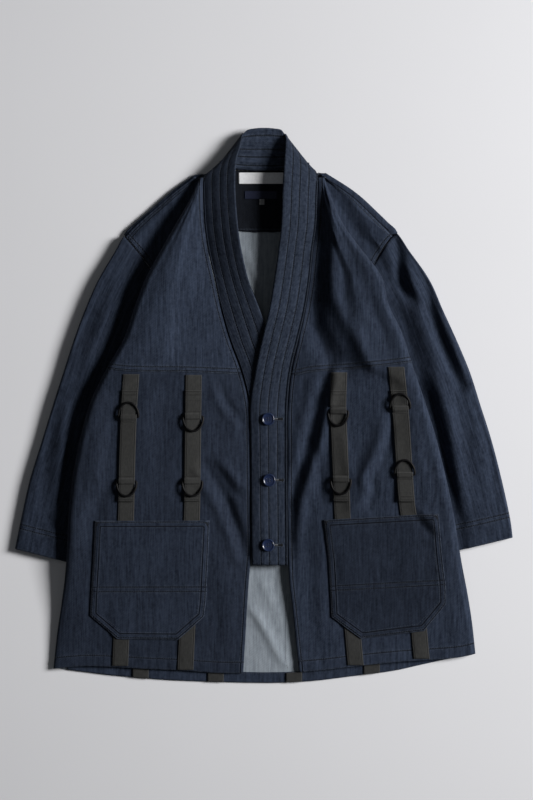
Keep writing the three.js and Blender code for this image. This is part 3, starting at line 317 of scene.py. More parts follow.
def polygonDistance(x, y, corners):
    best = np.full(np.shape(x), 1e9)
    for (ax, ay), (bx, by) in zip(corners, np.roll(corners, -1, axis=0)):
        dx, dy = bx - ax, by - ay
        t = np.clip(((x - ax) * dx + (y - ay) * dy) / max(dx * dx + dy * dy, 1e-9), 0, 1)
        best = np.minimum(best, np.hypot(x - ax - dx * t, y - ay - dy * t))
    return best


# A column of a side's body or arm table at heights y.
def bodyAt(side, key, y):
    return at(side["body"], "y", key, y)


def armAt(side, key, y):
    return at(side["arm"], "y", key, y)


# Distance run along a line of points.
def runAlong(points):
    return np.concatenate([[0], np.cumsum(np.hypot(*np.diff(points, axis=0).T))])


def pairs(x, y):
    return np.stack([x, y], 1)


def straight(a, b, count):
    return mix(np.array(a, float), np.array(b, float), np.linspace(0, 1, count)[:, None])


# ---- materials ----
def addNode(tree, kind, settings=(), links=()):
    made = tree.nodes.new(kind)
    for key, value in dict(settings).items():
        setattr(made, key, value)
    for key, value in dict(links).items():
        socket = made.inputs[key]
        if isinstance(value, bpy.types.NodeSocket):
            tree.links.new(value, socket)
        else:
            socket.default_value = value
    return made


def calc(tree, operation, a, b=0.0, c=0.0, clamp=False):
    settings = {"operation": operation, "use_clamp": clamp}
    return addNode(tree, "ShaderNodeMath", settings, {0: a, 1: b, 2: c}).outputs[0]


def newMaterial(name, rough, specular=0.3, sheen=0.0, coat=0.0):
    made = bpy.data.materials.new(name)
    made.use_nodes = True
    tree = made.node_tree
    shader = tree.nodes["Principled BSDF"]
    values = {"Roughness": rough, "Specular IOR Level": specular, "Sheen Weight": sheen, "Coat Weight": coat,
              "Sheen Roughness": 0.6}
    for key, value in values.items():
        shader.inputs[key].default_value = value
    return made, tree, shader


def noiseAt(tree, vector, scale, detail=2.0, stretch=None, seed=0.0):
    if stretch is not None:
        links = {"Vector": vector, "Scale": stretch, "Location": (seed, seed, seed)}
        vector = addNode(tree, "ShaderNodeMapping", {}, links).outputs[0]
    links = {"Vector": vector, "Scale": scale, "Detail": detail, "Roughness": 0.55}
    return addNode(tree, "ShaderNodeTexNoise", {}, links).outputs["Fac"]


def colourMix(tree, factor, a, b):
    made = addNode(tree, "ShaderNodeMix", {"data_type": "RGBA"})
    for socket, value in ((made.inputs[0], factor), (made.inputs[6], a), (made.inputs[7], b)):
        if isinstance(value, bpy.types.NodeSocket):
            tree.links.new(value, socket)
        else:
            socket.default_value = value if isinstance(value, float) else (*value, 1)
    return made.outputs[2]


def spread(tree, value, low, high):
    links = {"Value": value, "From Min": low, "From Max": high}
    return addNode(tree, "ShaderNodeMapRange", {"clamp": True}, links).outputs[0]


# A mark painted on the piece, such as its wear or its painted shade.
def markOf(tree, key):
    return addNode(tree, "ShaderNodeAttribute", {"attribute_name": key}).outputs["Fac"]


# The piece's flat cut, in metres, and its two directions.
def cutOf(tree):
    cut = addNode(tree, "ShaderNodeUVMap", {"uv_map": "cut"}).outputs[0]
    return (cut, *addNode(tree, "ShaderNodeSeparateXYZ", {}, {0: cut}).outputs[:2])


def wave(tree, value):
    return calc(tree, "MULTIPLY_ADD", calc(tree, "SINE", value), 0.5, 0.5)


def bumpOn(tree, below, height, distance, strength):
    links = {"Height": height, "Distance": distance, "Strength": strength}
    if below is not None:
        links["Normal"] = below
    return addNode(tree, "ShaderNodeBump", {}, links).outputs[0]


rowEnd = 0.45
# stitch rows: their reach, groove and ridge widths, bump depth, how dark the groove is painted as shade, and
# how much the ridges are rubbed
seamLook = {"reach": 6, "groove": 1.25, "ridge": 3.4, "deep": 0.0006, "dark": 0.85, "rub": 0.35}
# noise and weave scales, to the metre of cloth
grainLook = {"slub": (560, 42, 1), "streak": (240, 14, 1), "mottle": (150, 95, 1), "dents": (75, 48, 1),
             "cloud": 16.0, "patch": 240.0, "pucker": 190.0, "twillAcross": 2900, "twillAlong": 1700}
liftBy = {"slub": 0.4, "streak": 0.36, "twill": 0.1, "mottle": 0.7, "cloud": 0.35}
# denim tones: deep and pale, worn for faded edges, groove for the painted shade in stitch grooves, and the last
# colour that pieces are darkened towards as painted shade
denimLook = {"deep": (0.004, 0.0076, 0.0172), "pale": (0.0255, 0.0362, 0.0625), "worn": (0.06, 0.077, 0.11),
             "groove": (0.002, 0.003, 0.006), "rough": 0.85, "sheen": 0.02, "weave": 0.0002, "crumple": 0.0011,
             "paintedShadeColour": (0.0, 0.0012, 0.0045)}
# painted shade: the facing is the outside denim made much darker, for the shade inside the neck opening
facingShadedLook = {**denimLook, "deep": (0.002, 0.003, 0.006), "pale": (0.005, 0.007, 0.012),
              "worn": (0.012, 0.016, 0.024)}
insideLook = {"deep": (0.15, 0.175, 0.205), "pale": (0.26, 0.295, 0.33), "worn": (0.3, 0.33, 0.37),
              "groove": (0.05, 0.06, 0.08), "rough": 0.9, "sheen": 0.1, "weave": 0.0002, "crumple": 0.0009}


# A stitch row's groove, which the materials darken as painted shade, and the soft ridges beside it.
def rowNodes(tree, key):
    value = markOf(tree, key)
    away = calc(tree, "ABSOLUTE", calc(tree, "SUBTRACT", value, calc(tree, "ROUND", value)))
    deep, wide = seamLook["groove"] / seamLook["reach"], seamLook["ridge"] / seamLook["reach"]
    groove = spread(tree, away, deep, deep / 4)
    return groove, calc(tree, "MULTIPLY", spread(tree, away, wide, wide / 2), spread(tree, away, 0.06, 0.16))


# Twill denim: slubs and streaks along the warp, a fine diagonal, worn edges, painted shade in the stitch
# grooves and on darkened pieces, and a slight crumple.
def denimMaterial(name, look):
    made, tree, shader = newMaterial(name, look["rough"], 0.12, look["sheen"])
    cut, across, along = cutOf(tree)
    slub = noiseAt(tree, cut, 1.0, 3.0, grainLook["slub"])
    streak = noiseAt(tree, cut, 1.0, 3.0, grainLook["streak"], 3.0)
    cloud = noiseAt(tree, cut, grainLook["cloud"], 4.0)
    mottle = noiseAt(tree, cut, 1.0, 2.0, grainLook["mottle"], 11.0)
    diagonal = calc(tree, "MULTIPLY", across, grainLook["twillAcross"])
    twill = wave(tree, calc(tree, "MULTIPLY_ADD", along, grainLook["twillAlong"], diagonal))
    lift = calc(tree, "MULTIPLY", spread(tree, streak, 0.4, 0.62), liftBy["streak"])
    lift = calc(tree, "MULTIPLY_ADD", spread(tree, slub, 0.38, 0.64), liftBy["slub"], lift)
    lift = calc(tree, "MULTIPLY_ADD", twill, liftBy["twill"], lift)
    lift = calc(tree, "MULTIPLY_ADD", calc(tree, "SUBTRACT", mottle, 0.5), liftBy["mottle"], lift)
    lift = calc(tree, "MULTIPLY_ADD", calc(tree, "SUBTRACT", cloud, 0.5), liftBy["cloud"], lift, clamp=True)
    outside = colourMix(tree, lift, denimLook["deep"], denimLook["pale"])
    colour = colourMix(tree, markOf(tree, "shade"), colourMix(tree, lift, look["deep"], look["pale"]), outside)
    patchy = spread(tree, noiseAt(tree, cut, grainLook["patch"], 2.0), 0.35, 0.7)
    grooves, ridges = zip(*(rowNodes(tree, key) for key in ("rowsA", "rowsB")))
    groove, ridge = calc(tree, "MAXIMUM", *grooves), calc(tree, "MAXIMUM", *ridges)
    rubbed = calc(tree, "MULTIPLY_ADD", ridge, seamLook["rub"], markOf(tree, "wear"))
    colour = colourMix(tree, calc(tree, "MULTIPLY", rubbed, patchy, clamp=True), colour, look["worn"])
    # painted shade: the cloth darkens in each stitch row's groove
    colour = colourMix(tree, calc(tree, "MULTIPLY", groove, seamLook["dark"]), colour, look["groove"])
    # painted shade: each piece is darkened by its own share where less light falls on it
    colour = colourMix(tree, markOf(tree, "dim"), colour, denimLook["paintedShadeColour"])
    tree.links.new(colour, shader.inputs["Base Color"])
    dents = noiseAt(tree, cut, 1.0, 3.0, grainLook["dents"], 7.0)
    pucker = calc(tree, "MULTIPLY", ridge, noiseAt(tree, cut, grainLook["pucker"], 1.0))
    sewn = calc(tree, "SUBTRACT", calc(tree, "MULTIPLY", pucker, 0.8), groove)
    normal = bumpOn(tree, None, calc(tree, "ADD", twill, slub), look["weave"], 0.7)
    normal = bumpOn(tree, normal, dents, look["crumple"], 0.8)
    tree.links.new(bumpOn(tree, normal, sewn, seamLook["deep"], 1.0), shader.inputs["Normal"])
    return made


# Ribbed webbing: cross ribs, paler flecks and painted shade darkening the groove along each stitch row.
def webbingMaterial(name, look):
    made, tree, shader = newMaterial(name, look["rough"], 0.25, 0.1)
    cut, across, along = cutOf(tree)
    ribs = wave(tree, calc(tree, "MULTIPLY", along, look["ribs"]))
    strands = wave(tree, calc(tree, "MULTIPLY", across, look["strands"]))
    weave = calc(tree, "MULTIPLY", ribs, calc(tree, "MULTIPLY_ADD", strands, 0.6, 0.4))
    fleck = spread(tree, noiseAt(tree, cut, 1.0, 2.0, look["flecks"]), 0.35, 0.75)
    lift = calc(tree, "MULTIPLY_ADD", weave, 0.45, calc(tree, "MULTIPLY", fleck, 0.5), clamp=True)
    groove = calc(tree, "MAXIMUM", *(rowNodes(tree, key)[0] for key in ("rowsA", "rowsB")))
    colour = colourMix(tree, lift, look["deep"], look["pale"])
    # painted shade: the webbing darkens in each stitch row's groove
    colour = colourMix(tree, calc(tree, "MULTIPLY", groove, 0.7), colour, look["groove"])
    tree.links.new(colour, shader.inputs["Base Color"])
    normal = bumpOn(tree, None, calc(tree, "SUBTRACT", weave, groove), look["raised"], 0.8)
    tree.links.new(normal, shader.inputs["Normal"])
    return made


# Any plain thing with a slight unevenness: metal, plastic, thread and labels.
def plainMaterial(name, deep, pale, rough, scale=60.0, bump=0.0, **more):
    made, tree, shader = newMaterial(name, rough, **more)
    place = addNode(tree, "ShaderNodeTexCoord").outputs["Object"]
    patch = noiseAt(tree, place, scale, 4.0)
    tree.links.new(colourMix(tree, spread(tree, patch, 0.3, 0.7), deep, pale), shader.inputs["Base Color"])
    if bump:
        normal = bumpOn(tree, None, noiseAt(tree, place, scale * 12, 2.0), bump, 0.6)
        tree.links.new(normal, shader.inputs["Normal"])
    return made


denim = denimMaterial("denim", denimLook)
denimInside = denimMaterial("denim_inside", insideLook)
denimFacingShaded = denimMaterial("denim_facing", facingShadedLook)
webbingCloth = webbingMaterial("webbing", {
    "deep": (0.007, 0.0075, 0.0075), "pale": (0.029, 0.0295, 0.0285), "groove": (0.002, 0.002, 0.002),
    "rough": 0.75, "ribs": 4200, "strands": 5200, "flecks": (500, 160, 1), "raised": 0.00035})
blackMetal = plainMaterial("black_metal", (0.0015, 0.0015, 0.002), (0.004, 0.004, 0.0045), 0.5, 220.0, 0.00006,
                           specular=0.12)
navyPlastic = plainMaterial("navy_plastic", (0.004, 0.009, 0.032), (0.009, 0.018, 0.055), 0.3, 180.0,
                            specular=0.5, coat=0.12)
threadLook = plainMaterial("thread", (0.012, 0.018, 0.03), (0.04, 0.053, 0.078), 0.6, 900.0)
shankThread = plainMaterial("thread_shank", (0.12, 0.125, 0.14), (0.2, 0.205, 0.22), 0.7, 900.0)
tackThread = plainMaterial("thread_tack", (0.002, 0.003, 0.005), (0.008, 0.01, 0.015), 0.7, 900.0)
webbingThread = plainMaterial("thread_dark", (0.010, 0.011, 0.012), (0.03, 0.031, 0.032), 0.6, 900.0)
# painted shadow: the near-black sheet in each buttonhole's opening
slitShadow = plainMaterial("slit", (0.001, 0.001, 0.0015), (0.003, 0.003, 0.004), 0.9, 300.0)
labelWhite = plainMaterial("label_white", (0.62, 0.63, 0.66), (0.72, 0.73, 0.75), 0.6, 300.0, 0.00008,
                           sheen=0.1)
labelNavy = plainMaterial("label_navy", (0.003, 0.006, 0.022), (0.006, 0.01, 0.032), 0.65, 300.0, 0.00008)
labelGrey = plainMaterial("label_grey", (0.17, 0.175, 0.185), (0.22, 0.225, 0.23), 0.65, 300.0, 0.00008)
print("materials made")

# ---- making pieces ----
made = {}
sheetAreas = {}
# painted shade: how far each of these pieces is darkened where less light falls, from 0 to 1
paintedShadeShares = {"panel_right": 0.3, "pocket_right_cloth": 0.22, "pocket_left_cloth": 0.38, "band_left": 0.2,
        "band_right": 0.44, "sleeve_right_cloth": 0.14, "yoke_right": 0.06, "yoke_left": 0.05}


def finishPiece(name, mesh, looks, body, replaced):
    piece = bpy.data.objects.new(name, mesh)
    scene.collection.objects.link(piece)
    for look in looks:
        mesh.materials.append(look)
    mesh.shade_smooth()
    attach(piece, body)
    if replaced:
        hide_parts(*replaced)
    made[name] = piece
    return piece


# A grid of cells moved onto surface(u, v), thickened on its inner side. It faces up or out.
def gridPiece(name, across, along, surface, looks, thick=0.0, facing="up", cut=None, marks=None,
              body="garment", replaced=(), closedU=False, closedV=False):
    bm = bmesh.new()
    bmesh.ops.create_grid(bm, x_segments=across, y_segments=along, size=0.5)
    mesh = bpy.data.meshes.new(name)
    bm.to_mesh(mesh)
    flat = np.empty(len(mesh.vertices) * 3)
    mesh.vertices.foreach_get("co", flat)
    flat = flat.reshape(-1, 3)
    u = (flat[:, 0] - flat[:, 0].min()) / np.ptp(flat[:, 0])
    v = (flat[:, 1] - flat[:, 1].min()) / np.ptp(flat[:, 1])
    x, y, z = (np.broadcast_to(c, u.shape) for c in surface(u, v))
    mesh.vertices.foreach_set("co", (np.stack([x, y, z], 1) * mm).ravel())
    corner = np.empty(len(mesh.loops), int)
    mesh.loops.foreach_get("vertex_index", corner)
    flatCut = pairs(*(c[corner] for c in (cut(u, v) if cut else (x, y))))
    mesh.uv_layers.new(name="cut").data.foreach_set("uv", (flatCut * mm).ravel())
    painted = {"wear": 0, "rowsA": -rowEnd, "rowsB": -rowEnd, "shade": 0, "dim": paintedShadeShares.get(name, 0),
               **(marks(u, v, x, y) if marks else {})}
    for key, values in painted.items():
        full = np.ascontiguousarray(np.broadcast_to(values, u.shape), float)
        mesh.attributes.new(key, "FLOAT", "POINT").data.foreach_set("value", full)
    bm.free()
    bm = bmesh.new()
    bm.from_mesh(mesh)
    if closedU or closedV:
        bmesh.ops.remove_doubles(bm, verts=bm.verts, dist=1e-7)
    bm.normal_update()
    middle = sum((f.calc_center_median() for f in bm.faces), Vector()) / len(bm.faces)
    towards = {"up": lambda f: f.normal.z,
               "out": lambda f: f.normal.dot(f.calc_center_median() - middle)}[facing]
    if sum(towards(f) * f.calc_area() for f in bm.faces) < 0:
        bmesh.ops.reverse_faces(bm, faces=bm.faces)
    sheetAreas[name] = sum(f.calc_area() for f in bm.faces)
    bm.to_mesh(mesh)
    bm.free()
    piece = finishPiece(name, mesh, looks, body, replaced)
    if thick:
        wall = piece.modifiers.new("cloth", "SOLIDIFY")
        wall.thickness = thick * mm
        wall.offset = -1
        wall.use_quality_normals = True
        wall.material_offset = len(looks) - 1
    return piece


trees = {}


def treeOf(piece):
    if piece.name not in trees:
        corners = [v.co for v in piece.data.vertices]
        trees[piece.name] = BVHTree.FromPolygons(corners, [tuple(p.vertices) for p in piece.data.polygons])
    return trees[piece.name]


# Height of a piece's top face at places in plan, in millimetres; spare where it has none.
def topOf(piece, x, y, spare=0.0):
    tree = treeOf(piece)
    down = Vector((0, 0, -1))
    heights = []
    for px, py in zip(np.ravel(x), np.ravel(y)):
        hit = tree.ray_cast(Vector((px * mm, py * mm, 0.2)), down)[0]
        heights.append(hit.z / mm if hit else np.nan)
    heights = np.array(heights)
    gone = np.isnan(heights)
    if gone.all():
        return np.full(heights.shape, spare)
    if gone.any():
        order = np.arange(len(heights))
        heights[gone] = np.interp(order[gone], order[~gone], heights[~gone])
    return heights.reshape(np.shape(x))


# ---- sewing: each stitch is a small spindle laid on the face of its piece ----
threads = {}


def sew(piece, line, pitch=3.5, long=2.7, wide=0.8, look=None, turn=0.0, rise=0.0):
    points = np.array(line, float)
    reach = runAlong(points)
    count = max(1, int(reach[-1] / pitch))
    where = (np.arange(count) + 0.5) * reach[-1] / count
    tree = treeOf(piece)
    for s in where:
        px, py = np.interp(s, reach, points[:, 0]), np.interp(s, reach, points[:, 1])
        qx, qy = np.interp(s + 1, reach, points[:, 0]), np.interp(s + 1, reach, points[:, 1])
        if s + 1 > reach[-1]:
            nearX, nearY = (np.interp(s - 1, reach, points[:, i]) for i in (0, 1))
            qx, qy = 2 * px - nearX, 2 * py - nearY
        hit, normal, *_ = tree.ray_cast(Vector((px * mm, py * mm, 0.2)), Vector((0, 0, -1)))
        if hit is None:
            continue
        if normal.z < 0:
            normal.negate()
        along = Vector((qx - px, qy - py, 0))
        if turn:
            across, ahead = math.sin(turn), math.cos(turn)
            along = Vector((along.x * ahead - along.y * across, along.x * across + along.y * ahead, 0))
        along = (along - normal * along.dot(normal)).normalized()
        side = normal.cross(along)
        threads.setdefault((piece.name, look or threadLook), []).append(
            [*(hit + normal * rise * mm), *(along * long * mm), *(side * wide * mm),
             *(normal * wide * 0.55 * mm)])


def smoothLine(points, step=4):
    points = np.array(points, float)
    rows = {"k": np.arange(len(points), dtype=float), "x": points[:, 0], "y": points[:, 1]}
    k = np.linspace(0, len(points) - 1, max(3, int(runAlong(points)[-1] / step)))
    return pairs(at(rows, "k", "x", k), at(rows, "k", "y", k))


def offsetLine(points, away):
    points = np.array(points, float)
    run = np.gradient(points, axis=0)
    run /= np.hypot(*run.T)[:, None]
    return points + np.stack([-run[:, 1], run[:, 0]], 1) * away


# ---- fronts: yokes and panels, from the band's seam over the crest and round the side fold ----
front = {"across": 118, "along": 168, "yokeAlong": 104, "flatShare": 0.86, "unevenness": 1.0, "seamLift": 0.7,
         "rollShare": 0.8, "rise": 5}


def frontPoint(side, around, down, levels, edgeTop, edgeFoot, seed):
    body, inward = side["body"], side["inward"]
    level = mix(levels[0], levels[1], down)
    fold, roll = at(body, "y", "fold", level), at(body, "y", "roll", level) * front["rollShare"]
    rise = front["rise"] * smooth((level + 330) / 120) * smooth((345 - level) / 60)
    crest, low = at(body, "y", "crest", level) + rise, at(body, "y", "low", level)
    seam = at(body, "y", "seam", level) - inward * cloth["seamGap"]
    crestX = fold + inward * roll
    flatShare = front["flatShare"]
    turn = np.clip((around - flatShare) / (1 - flatShare), 0, 1) * math.pi
    share = np.clip(around / flatShare, 0, 1)
    x = mix(seam, crestX, share) - inward * roll * np.sin(turn)
    y = mix(at(edgeTop, "x", "y", x), at(edgeFoot, "x", "y", x), down)
    fade = smooth((1 - share) * 6)
    rounded = mix(bodyAt(side, "seamTop", y), bodyAt(side, "crest", y), 1 - (1 - share) ** 2)
    flat = rounded + fade * relief(bodyFolds, x, y)
    flat = flat + rise * smooth((share - mix(0.5, 0.84, smooth((70 - level) / 60))) * 6.25)
    z = np.where(turn > 0, (crest + low) / 2 + (crest - low) / 2 * np.cos(turn), flat)
    top = np.cos(np.clip(turn, 0, math.pi / 2))
    calm = smooth((y + 402) / 30) * 0.7 + 0.3
    nearBand = smooth(share * 9)
    extra = relief(bodyCreases, x, y) + unevenness(x, y, front["unevenness"], seed)
    z = z + extra * (0.25 + 0.75 * np.minimum(fade, nearBand)) * top * calm
    away = y - at(yokeSeam, "x", "y", x)
    z = z + top * puckers(away, x, 0.55, 11, seed + 20) * nearBand
    hemAway = y - at(side["hem"], "x", "y", x) if levels[1] == hemLevel else y * 0 + 500
    z = z + top * (puckers(hemAway - 16, x, 0.5, 9, seed + 30) + 0.5 * smooth((18 - hemAway) / 4))
    if levels[1] != hemLevel:
        z = z + top * front["seamLift"] * smooth((11 - away) / 4)
    return x, y, z


def frontCut(side, around, down, levels):
    level = mix(levels[0], levels[1], down)
    body, inward = side["body"], side["inward"]
    roll = at(body, "y", "roll", level) * front["rollShare"]
    seam, crestX = at(body, "y", "seam", level), at(body, "y", "fold", level) + inward * roll
    share = np.clip(around / front["flatShare"], 0, 1)
    turn = np.clip((around - front["flatShare"]) / (1 - front["flatShare"]), 0, 1)
    return mix(seam, crestX, share) - inward * roll * math.pi * turn, level


def levelLine(y):
    return table("x y", (-400, y), (400, y))


yokeSeamBelow = {"x": yokeSeam["x"], "y": yokeSeam["y"] - cloth["seamGap"]}
yokeLevels, panelLevels = (yokeTop, yokeFoot), (yokeFoot, hemLevel)


def shoulderAt(side, share):
    a, b, c, d = (np.array(p, float) for p in side["armhole"])
    s = np.asarray(share, float)[..., None]
    return a * (1 - s) ** 3 + 3 * b * (1 - s) ** 2 * s + 3 * c * (1 - s) * s ** 2 + d * s ** 3


def armTop(side, x, y):
    fold, limit = bodyAt(side, "fold", y), armAt(side, "limit", y)
    high = armAt(side, "high", y)
    out = (fold - x) * side["inward"]
    tuck = cloth["tuck"]
    wide = np.abs(limit - fold) + cloth["foldClear"] + side["ease"] * smooth((y - 20) / 60)
    return tuck + (high - tuck) * smooth((out - 7) / wide) + smooth((out - 10) / 20) * relief(armFolds, x, y)


shoulder = {"underShare": 0.42, "most": 14, "edge": 9.2, "across": 60, "along": 60}


# The part of a yoke beyond the dark gap, from the shoulder seam in under the side fold.
def shoulderPoint(side, inside, down, seed):
    under = shoulder["underShare"]
    inward = side["inward"]
    corner, innerCorner = shoulderAt(side, 0.0), shoulderAt(side, under)
    yOut, yIn = mix(344, corner[1] + 0.3, down), mix(336, innerCorner[1] + 0.3, down)
    xOut = armAt(side, "out", yOut) + inward * side["shoulderSeam"]
    xUnder = bodyAt(side, "fold", yIn) + inward * (bodyAt(side, "roll", yIn) + 2)
    bend = down ** 4
    xIn = mix(xUnder, innerCorner[0], bend)
    edge = shoulderAt(side, inside * under)
    x = mix(xOut, xIn, inside) + bend * (edge[:, 0] - mix(corner[0], innerCorner[0], inside))
    y = mix(yOut, yIn, inside) + bend * (edge[:, 1] - mix(corner[1], innerCorner[1], inside))
    low = bodyAt(side, "low", np.clip(y, hemLevel, yokeTop))
    top = np.minimum(mix(shoulder["edge"], armTop(side, x, y), smooth(inside * 4)), shoulder["most"])
    tucked = smooth((inside - 0.55) / 0.4)
    z = mix(top, low + 0.7, tucked)
    z = z + (1 - tucked) * (0.6 * unevenness(x, y, 1.0, seed) + puckers(inside * 70, y, 0.7, 14, seed))
    return x, y, z


def fromBand(side, x, y):
    return (bodyAt(side, "seam", y) - x) * side["inward"]


def yokeMarks(side, x, y):
    away = y - at(yokeSeam, "x", "y", x)
    return {"wear": 0.6 * smooth((2.2 - away) / 1.5), "rowsA": rowValue(away, (2, 7.5)),
            "rowsB": rowValue(fromBand(side, x, y), (5.5,))}


def panelMarks(side, x, y):
    hemAway = y - at(side["hem"], "x", "y", x)
    rubbed = 0.4 * smooth((2 - fromBand(side, x, y)) / 1.5) * (y < -240)
    return {"wear": 0.6 * smooth((2.5 - hemAway) / 2) + rubbed, "rowsA": rowValue(hemAway, (16.5,)),
            "rowsB": rowValue(fromBand(side, x, y), (5.5,))}


def shoulderMarks(side, x, y):
    hole = shoulderAt(side, np.linspace(0, 1, 60))
    away = polygonDistance(x, y, np.concatenate([hole, hole[::-1]]))
    return {"wear": 0.3 * smooth((1.5 - away) / 1.5), "rowsA": rowValue(away, (2, 8)),
            "rowsB": rowValue((armAt(side, "out", y) - x) * -side["inward"], (7, 12.5))}


bothSides = (denim, denimInside)
for label, side, seed in (("right", right, 40), ("left", left, 60)):
    gridPiece(f"yoke_{label}", front["across"], front["yokeAlong"],
              lambda u, v: frontPoint(side, u, v, yokeLevels, levelLine(yokeTop), yokeSeam, seed),
              bothSides, cloth["thick"], cut=lambda u, v: frontCut(side, u, v, yokeLevels),
              marks=lambda u, v, x, y: yokeMarks(side, x, y), replaced=(f"front_{label}_yoke",))
    gridPiece(f"shoulder_{label}", shoulder["across"], shoulder["along"],
              lambda u, v: shoulderPoint(side, u, v, seed + 7), bothSides, cloth["thick"],
              marks=lambda u, v, x, y: shoulderMarks(side, x, y), replaced=(f"front_{label}_yoke",))
    gridPiece(f"panel_{label}", front["across"], front["along"],
              lambda u, v: frontPoint(side, u, v, panelLevels, yokeSeamBelow, side["hem"], seed),
              bothSides, cloth["thick"], cut=lambda u, v: frontCut(side, u, v, panelLevels),
              marks=lambda u, v, x, y: panelMarks(side, x, y), replaced=(f"front_{label}_panel",))
print("fronts made")

# ---- sleeves: flattened tubes from the armhole seam to the cuff ----
sleeve = {"around": 140, "along": 156, "unevenness": 1.0, "cuffHem": 33, "hemStep": 0.5, "wide": 165,
          "long": 470, "footLift": 1.5}


def sleeveLength(side, share):
    head, foot = shoulderAt(side, 0.0)[1], side["underarm"]["y"][0]
    return mix(head - side["cuff"][0], foot - side["cuff"][1], share)


def sleevePoint(side, around, down, seed):
    rows = side["underarm"]
    head, foot = shoulderAt(side, 0.0), shoulderAt(side, 1.0)
    def pointAt(share):
        yOut, yIn = mix(head[1], side["cuff"][0], down), mix(rows["y"][0], side["cuff"][1], down)
        xOut, xIn = armAt(side, "out", yOut), at(rows, "y", "x", yIn)
        seam = shoulderAt(side, share)
        keep = (1 - down) ** 3
        return (mix(xOut, xIn, share) + keep * (seam[..., 0] - mix(head[0], foot[0], share)),
                mix(yOut, yIn, share) + keep * (seam[..., 1] - mix(head[1], foot[1], share)))

    turn = around * 2 * math.pi
    zero = np.zeros(np.shape(down))
    (ax, ay), (bx, by) = pointAt(zero), pointAt(zero + 1)
    wide = np.hypot(bx - ax, by - ay)
    share = (1 - np.cos(turn)) / 2
    x, y = pointAt(share)
    inEdge = np.minimum(share, 1 - share) * wide
    full = np.sqrt(1 - (1 - np.clip(inEdge / cloth["tubeEdge"], 0, 1)) ** 2)
    middle = cloth["tubeEdge"] * 0.75
    out = (bodyAt(side, "fold", y) - x) * side["inward"]
    bare = smooth((out - 4) / 16)  # beyond the body's fold, where the sleeve shows
    long = sleeveLength(side, share)
    fromCuff, fromHead = (1 - down) * long, down * long
    fine = relief(armCreases, x, y) + unevenness(x, y, sleeve["unevenness"], seed)
    fine = fine + puckers(fromCuff - sleeve["cuffHem"], x, 0.8, 12, seed + 9)
    fine = fine + puckers(fromHead, y, 0.8, 10, seed + 13)
    fine = fine + sleeve["hemStep"] * smooth((sleeve["cuffHem"] - fromCuff) / 3)
    top = armTop(side, x, y) + fine * bare * smooth(inEdge / 14)
    bottom = sleeve["footLift"] * smooth((0.22 - down) / 0.08)
    z = np.where(turn < math.pi, mix(middle, top, full), mix(middle, bottom, full))
    y = y + side["headLift"] * (1 - share) ** 4 * smooth((0.05 - down) / 0.05)
    return x, y - cloth["seamGap"] * (1 - down), np.maximum(z, 0)


def sleeveCut(around, down):
    share = (1 - np.cos(around * 2 * math.pi)) / 2
    return np.where(around < 0.5, share, 2 - share) * sleeve["wide"], -down * sleeve["long"]


def sleeveMarks(side, u, v):
    fromCuff = (1 - v) * sleeveLength(side, (1 - np.cos(u * 2 * math.pi)) / 2)
    return {"wear": 0.6 * smooth((2.2 - fromCuff) / 1.5), "rowsA": rowValue(fromCuff, (31, 37))}


for label, side, seed in (("right", right, 140), ("left", left, 160)):
    gridPiece(f"sleeve_{label}_cloth", sleeve["around"], sleeve["along"],
              lambda u, v: sleevePoint(side, u, v, seed), bothSides, cloth["thick"], facing="out",
              cut=sleeveCut, marks=lambda u, v, x, y: sleeveMarks(side, u, v), replaced=(f"sleeve_{label}",),
              closedU=True)
print("sleeves made")

# ---- back: lies on the floor, curls up at the shoulders and over the sleeves; its pale inside shows ----
back = {"across": 140, "along": 152, "top": 345, "foot": -417, "edge": 0.06, "inset": 11, "liftFrom": 22,
        "liftLong": 50, "lip": 5, "over": 10}


def backEdge(side, key, level):
    upper = at(backRows, "y", key, level)
    lower = bodyAt(side, "fold", np.maximum(level, hemLevel)) + side["inward"] * back["inset"]
    return np.where(level > backRows["y"][-1], upper, lower)


def backPoint(u, v):
    level = mix(back["top"], back["foot"], v)
    lip = np.where(level > 240, np.minimum(at(backRows, "y", "lip", level), back["lip"]), 0)
    reach = np.maximum(lip / 2, 0.8)
    innerRight, innerLeft = backEdge(right, "right", level) + reach, backEdge(left, "left", level) - reach
    edge = back["edge"]
    curl = np.clip(np.maximum(edge - u, u - (1 - edge)) / edge, 0, 1)
    share = np.clip((u - edge) / (1 - 2 * edge), 0, 1)
    sign = np.where(u < 0.5, 1, -1)
    turn = np.clip(curl / 0.65, 0, 1) * math.pi * 0.94
    outward = np.where(lip > 0.8, np.sin(turn), curl)
    over = np.clip((curl - 0.65) / 0.35, 0, 1) * back["over"] * smooth((lip - 0.8) / 3)
    x = mix(innerRight, innerLeft, share) - sign * (reach * outward - over)
    down = (back["top"] - level) / (back["top"] - back["foot"])
    y = mix(at(backTop, "x", "y", np.clip(x, -104, 94)), at(backHem, "x", "y", x), down)
    curled = lip / 2 * (1 - np.cos(turn))
    lift = np.zeros(np.shape(u))
    for side in (right, left):
        seam = at(side["underarm"], "y", "x", np.clip(y, side["cuff"][1], 20))
        seam = seam + side["inward"] * cloth["headBulge"] * smooth(y / 40)
        over = smooth(1 - ((x - seam) * side["inward"] - back["liftFrom"]) / back["liftLong"])
        lift = np.maximum(lift, over * cloth["overArm"] * smooth((200 - y) / 30) * smooth((y + 335) / 70))
    swell = smooth((360 - y) / 20) * smooth((y + 400) / 16) * (1 - curl)
    inner = np.maximum(curled, lift) + cloth["thick"]
    crumple = 0.5 + 0.5 * ripple(x, y * 0.6, 34, 301) + 0.35 * ripple(x, y, 15, 302)
    crumple = crumple + 1.2 * relief(backCreases, x, y)
    return x, y, inner + swell * np.maximum(crumple, 0) * smooth((3 - np.maximum(curled, lift)) / 3)


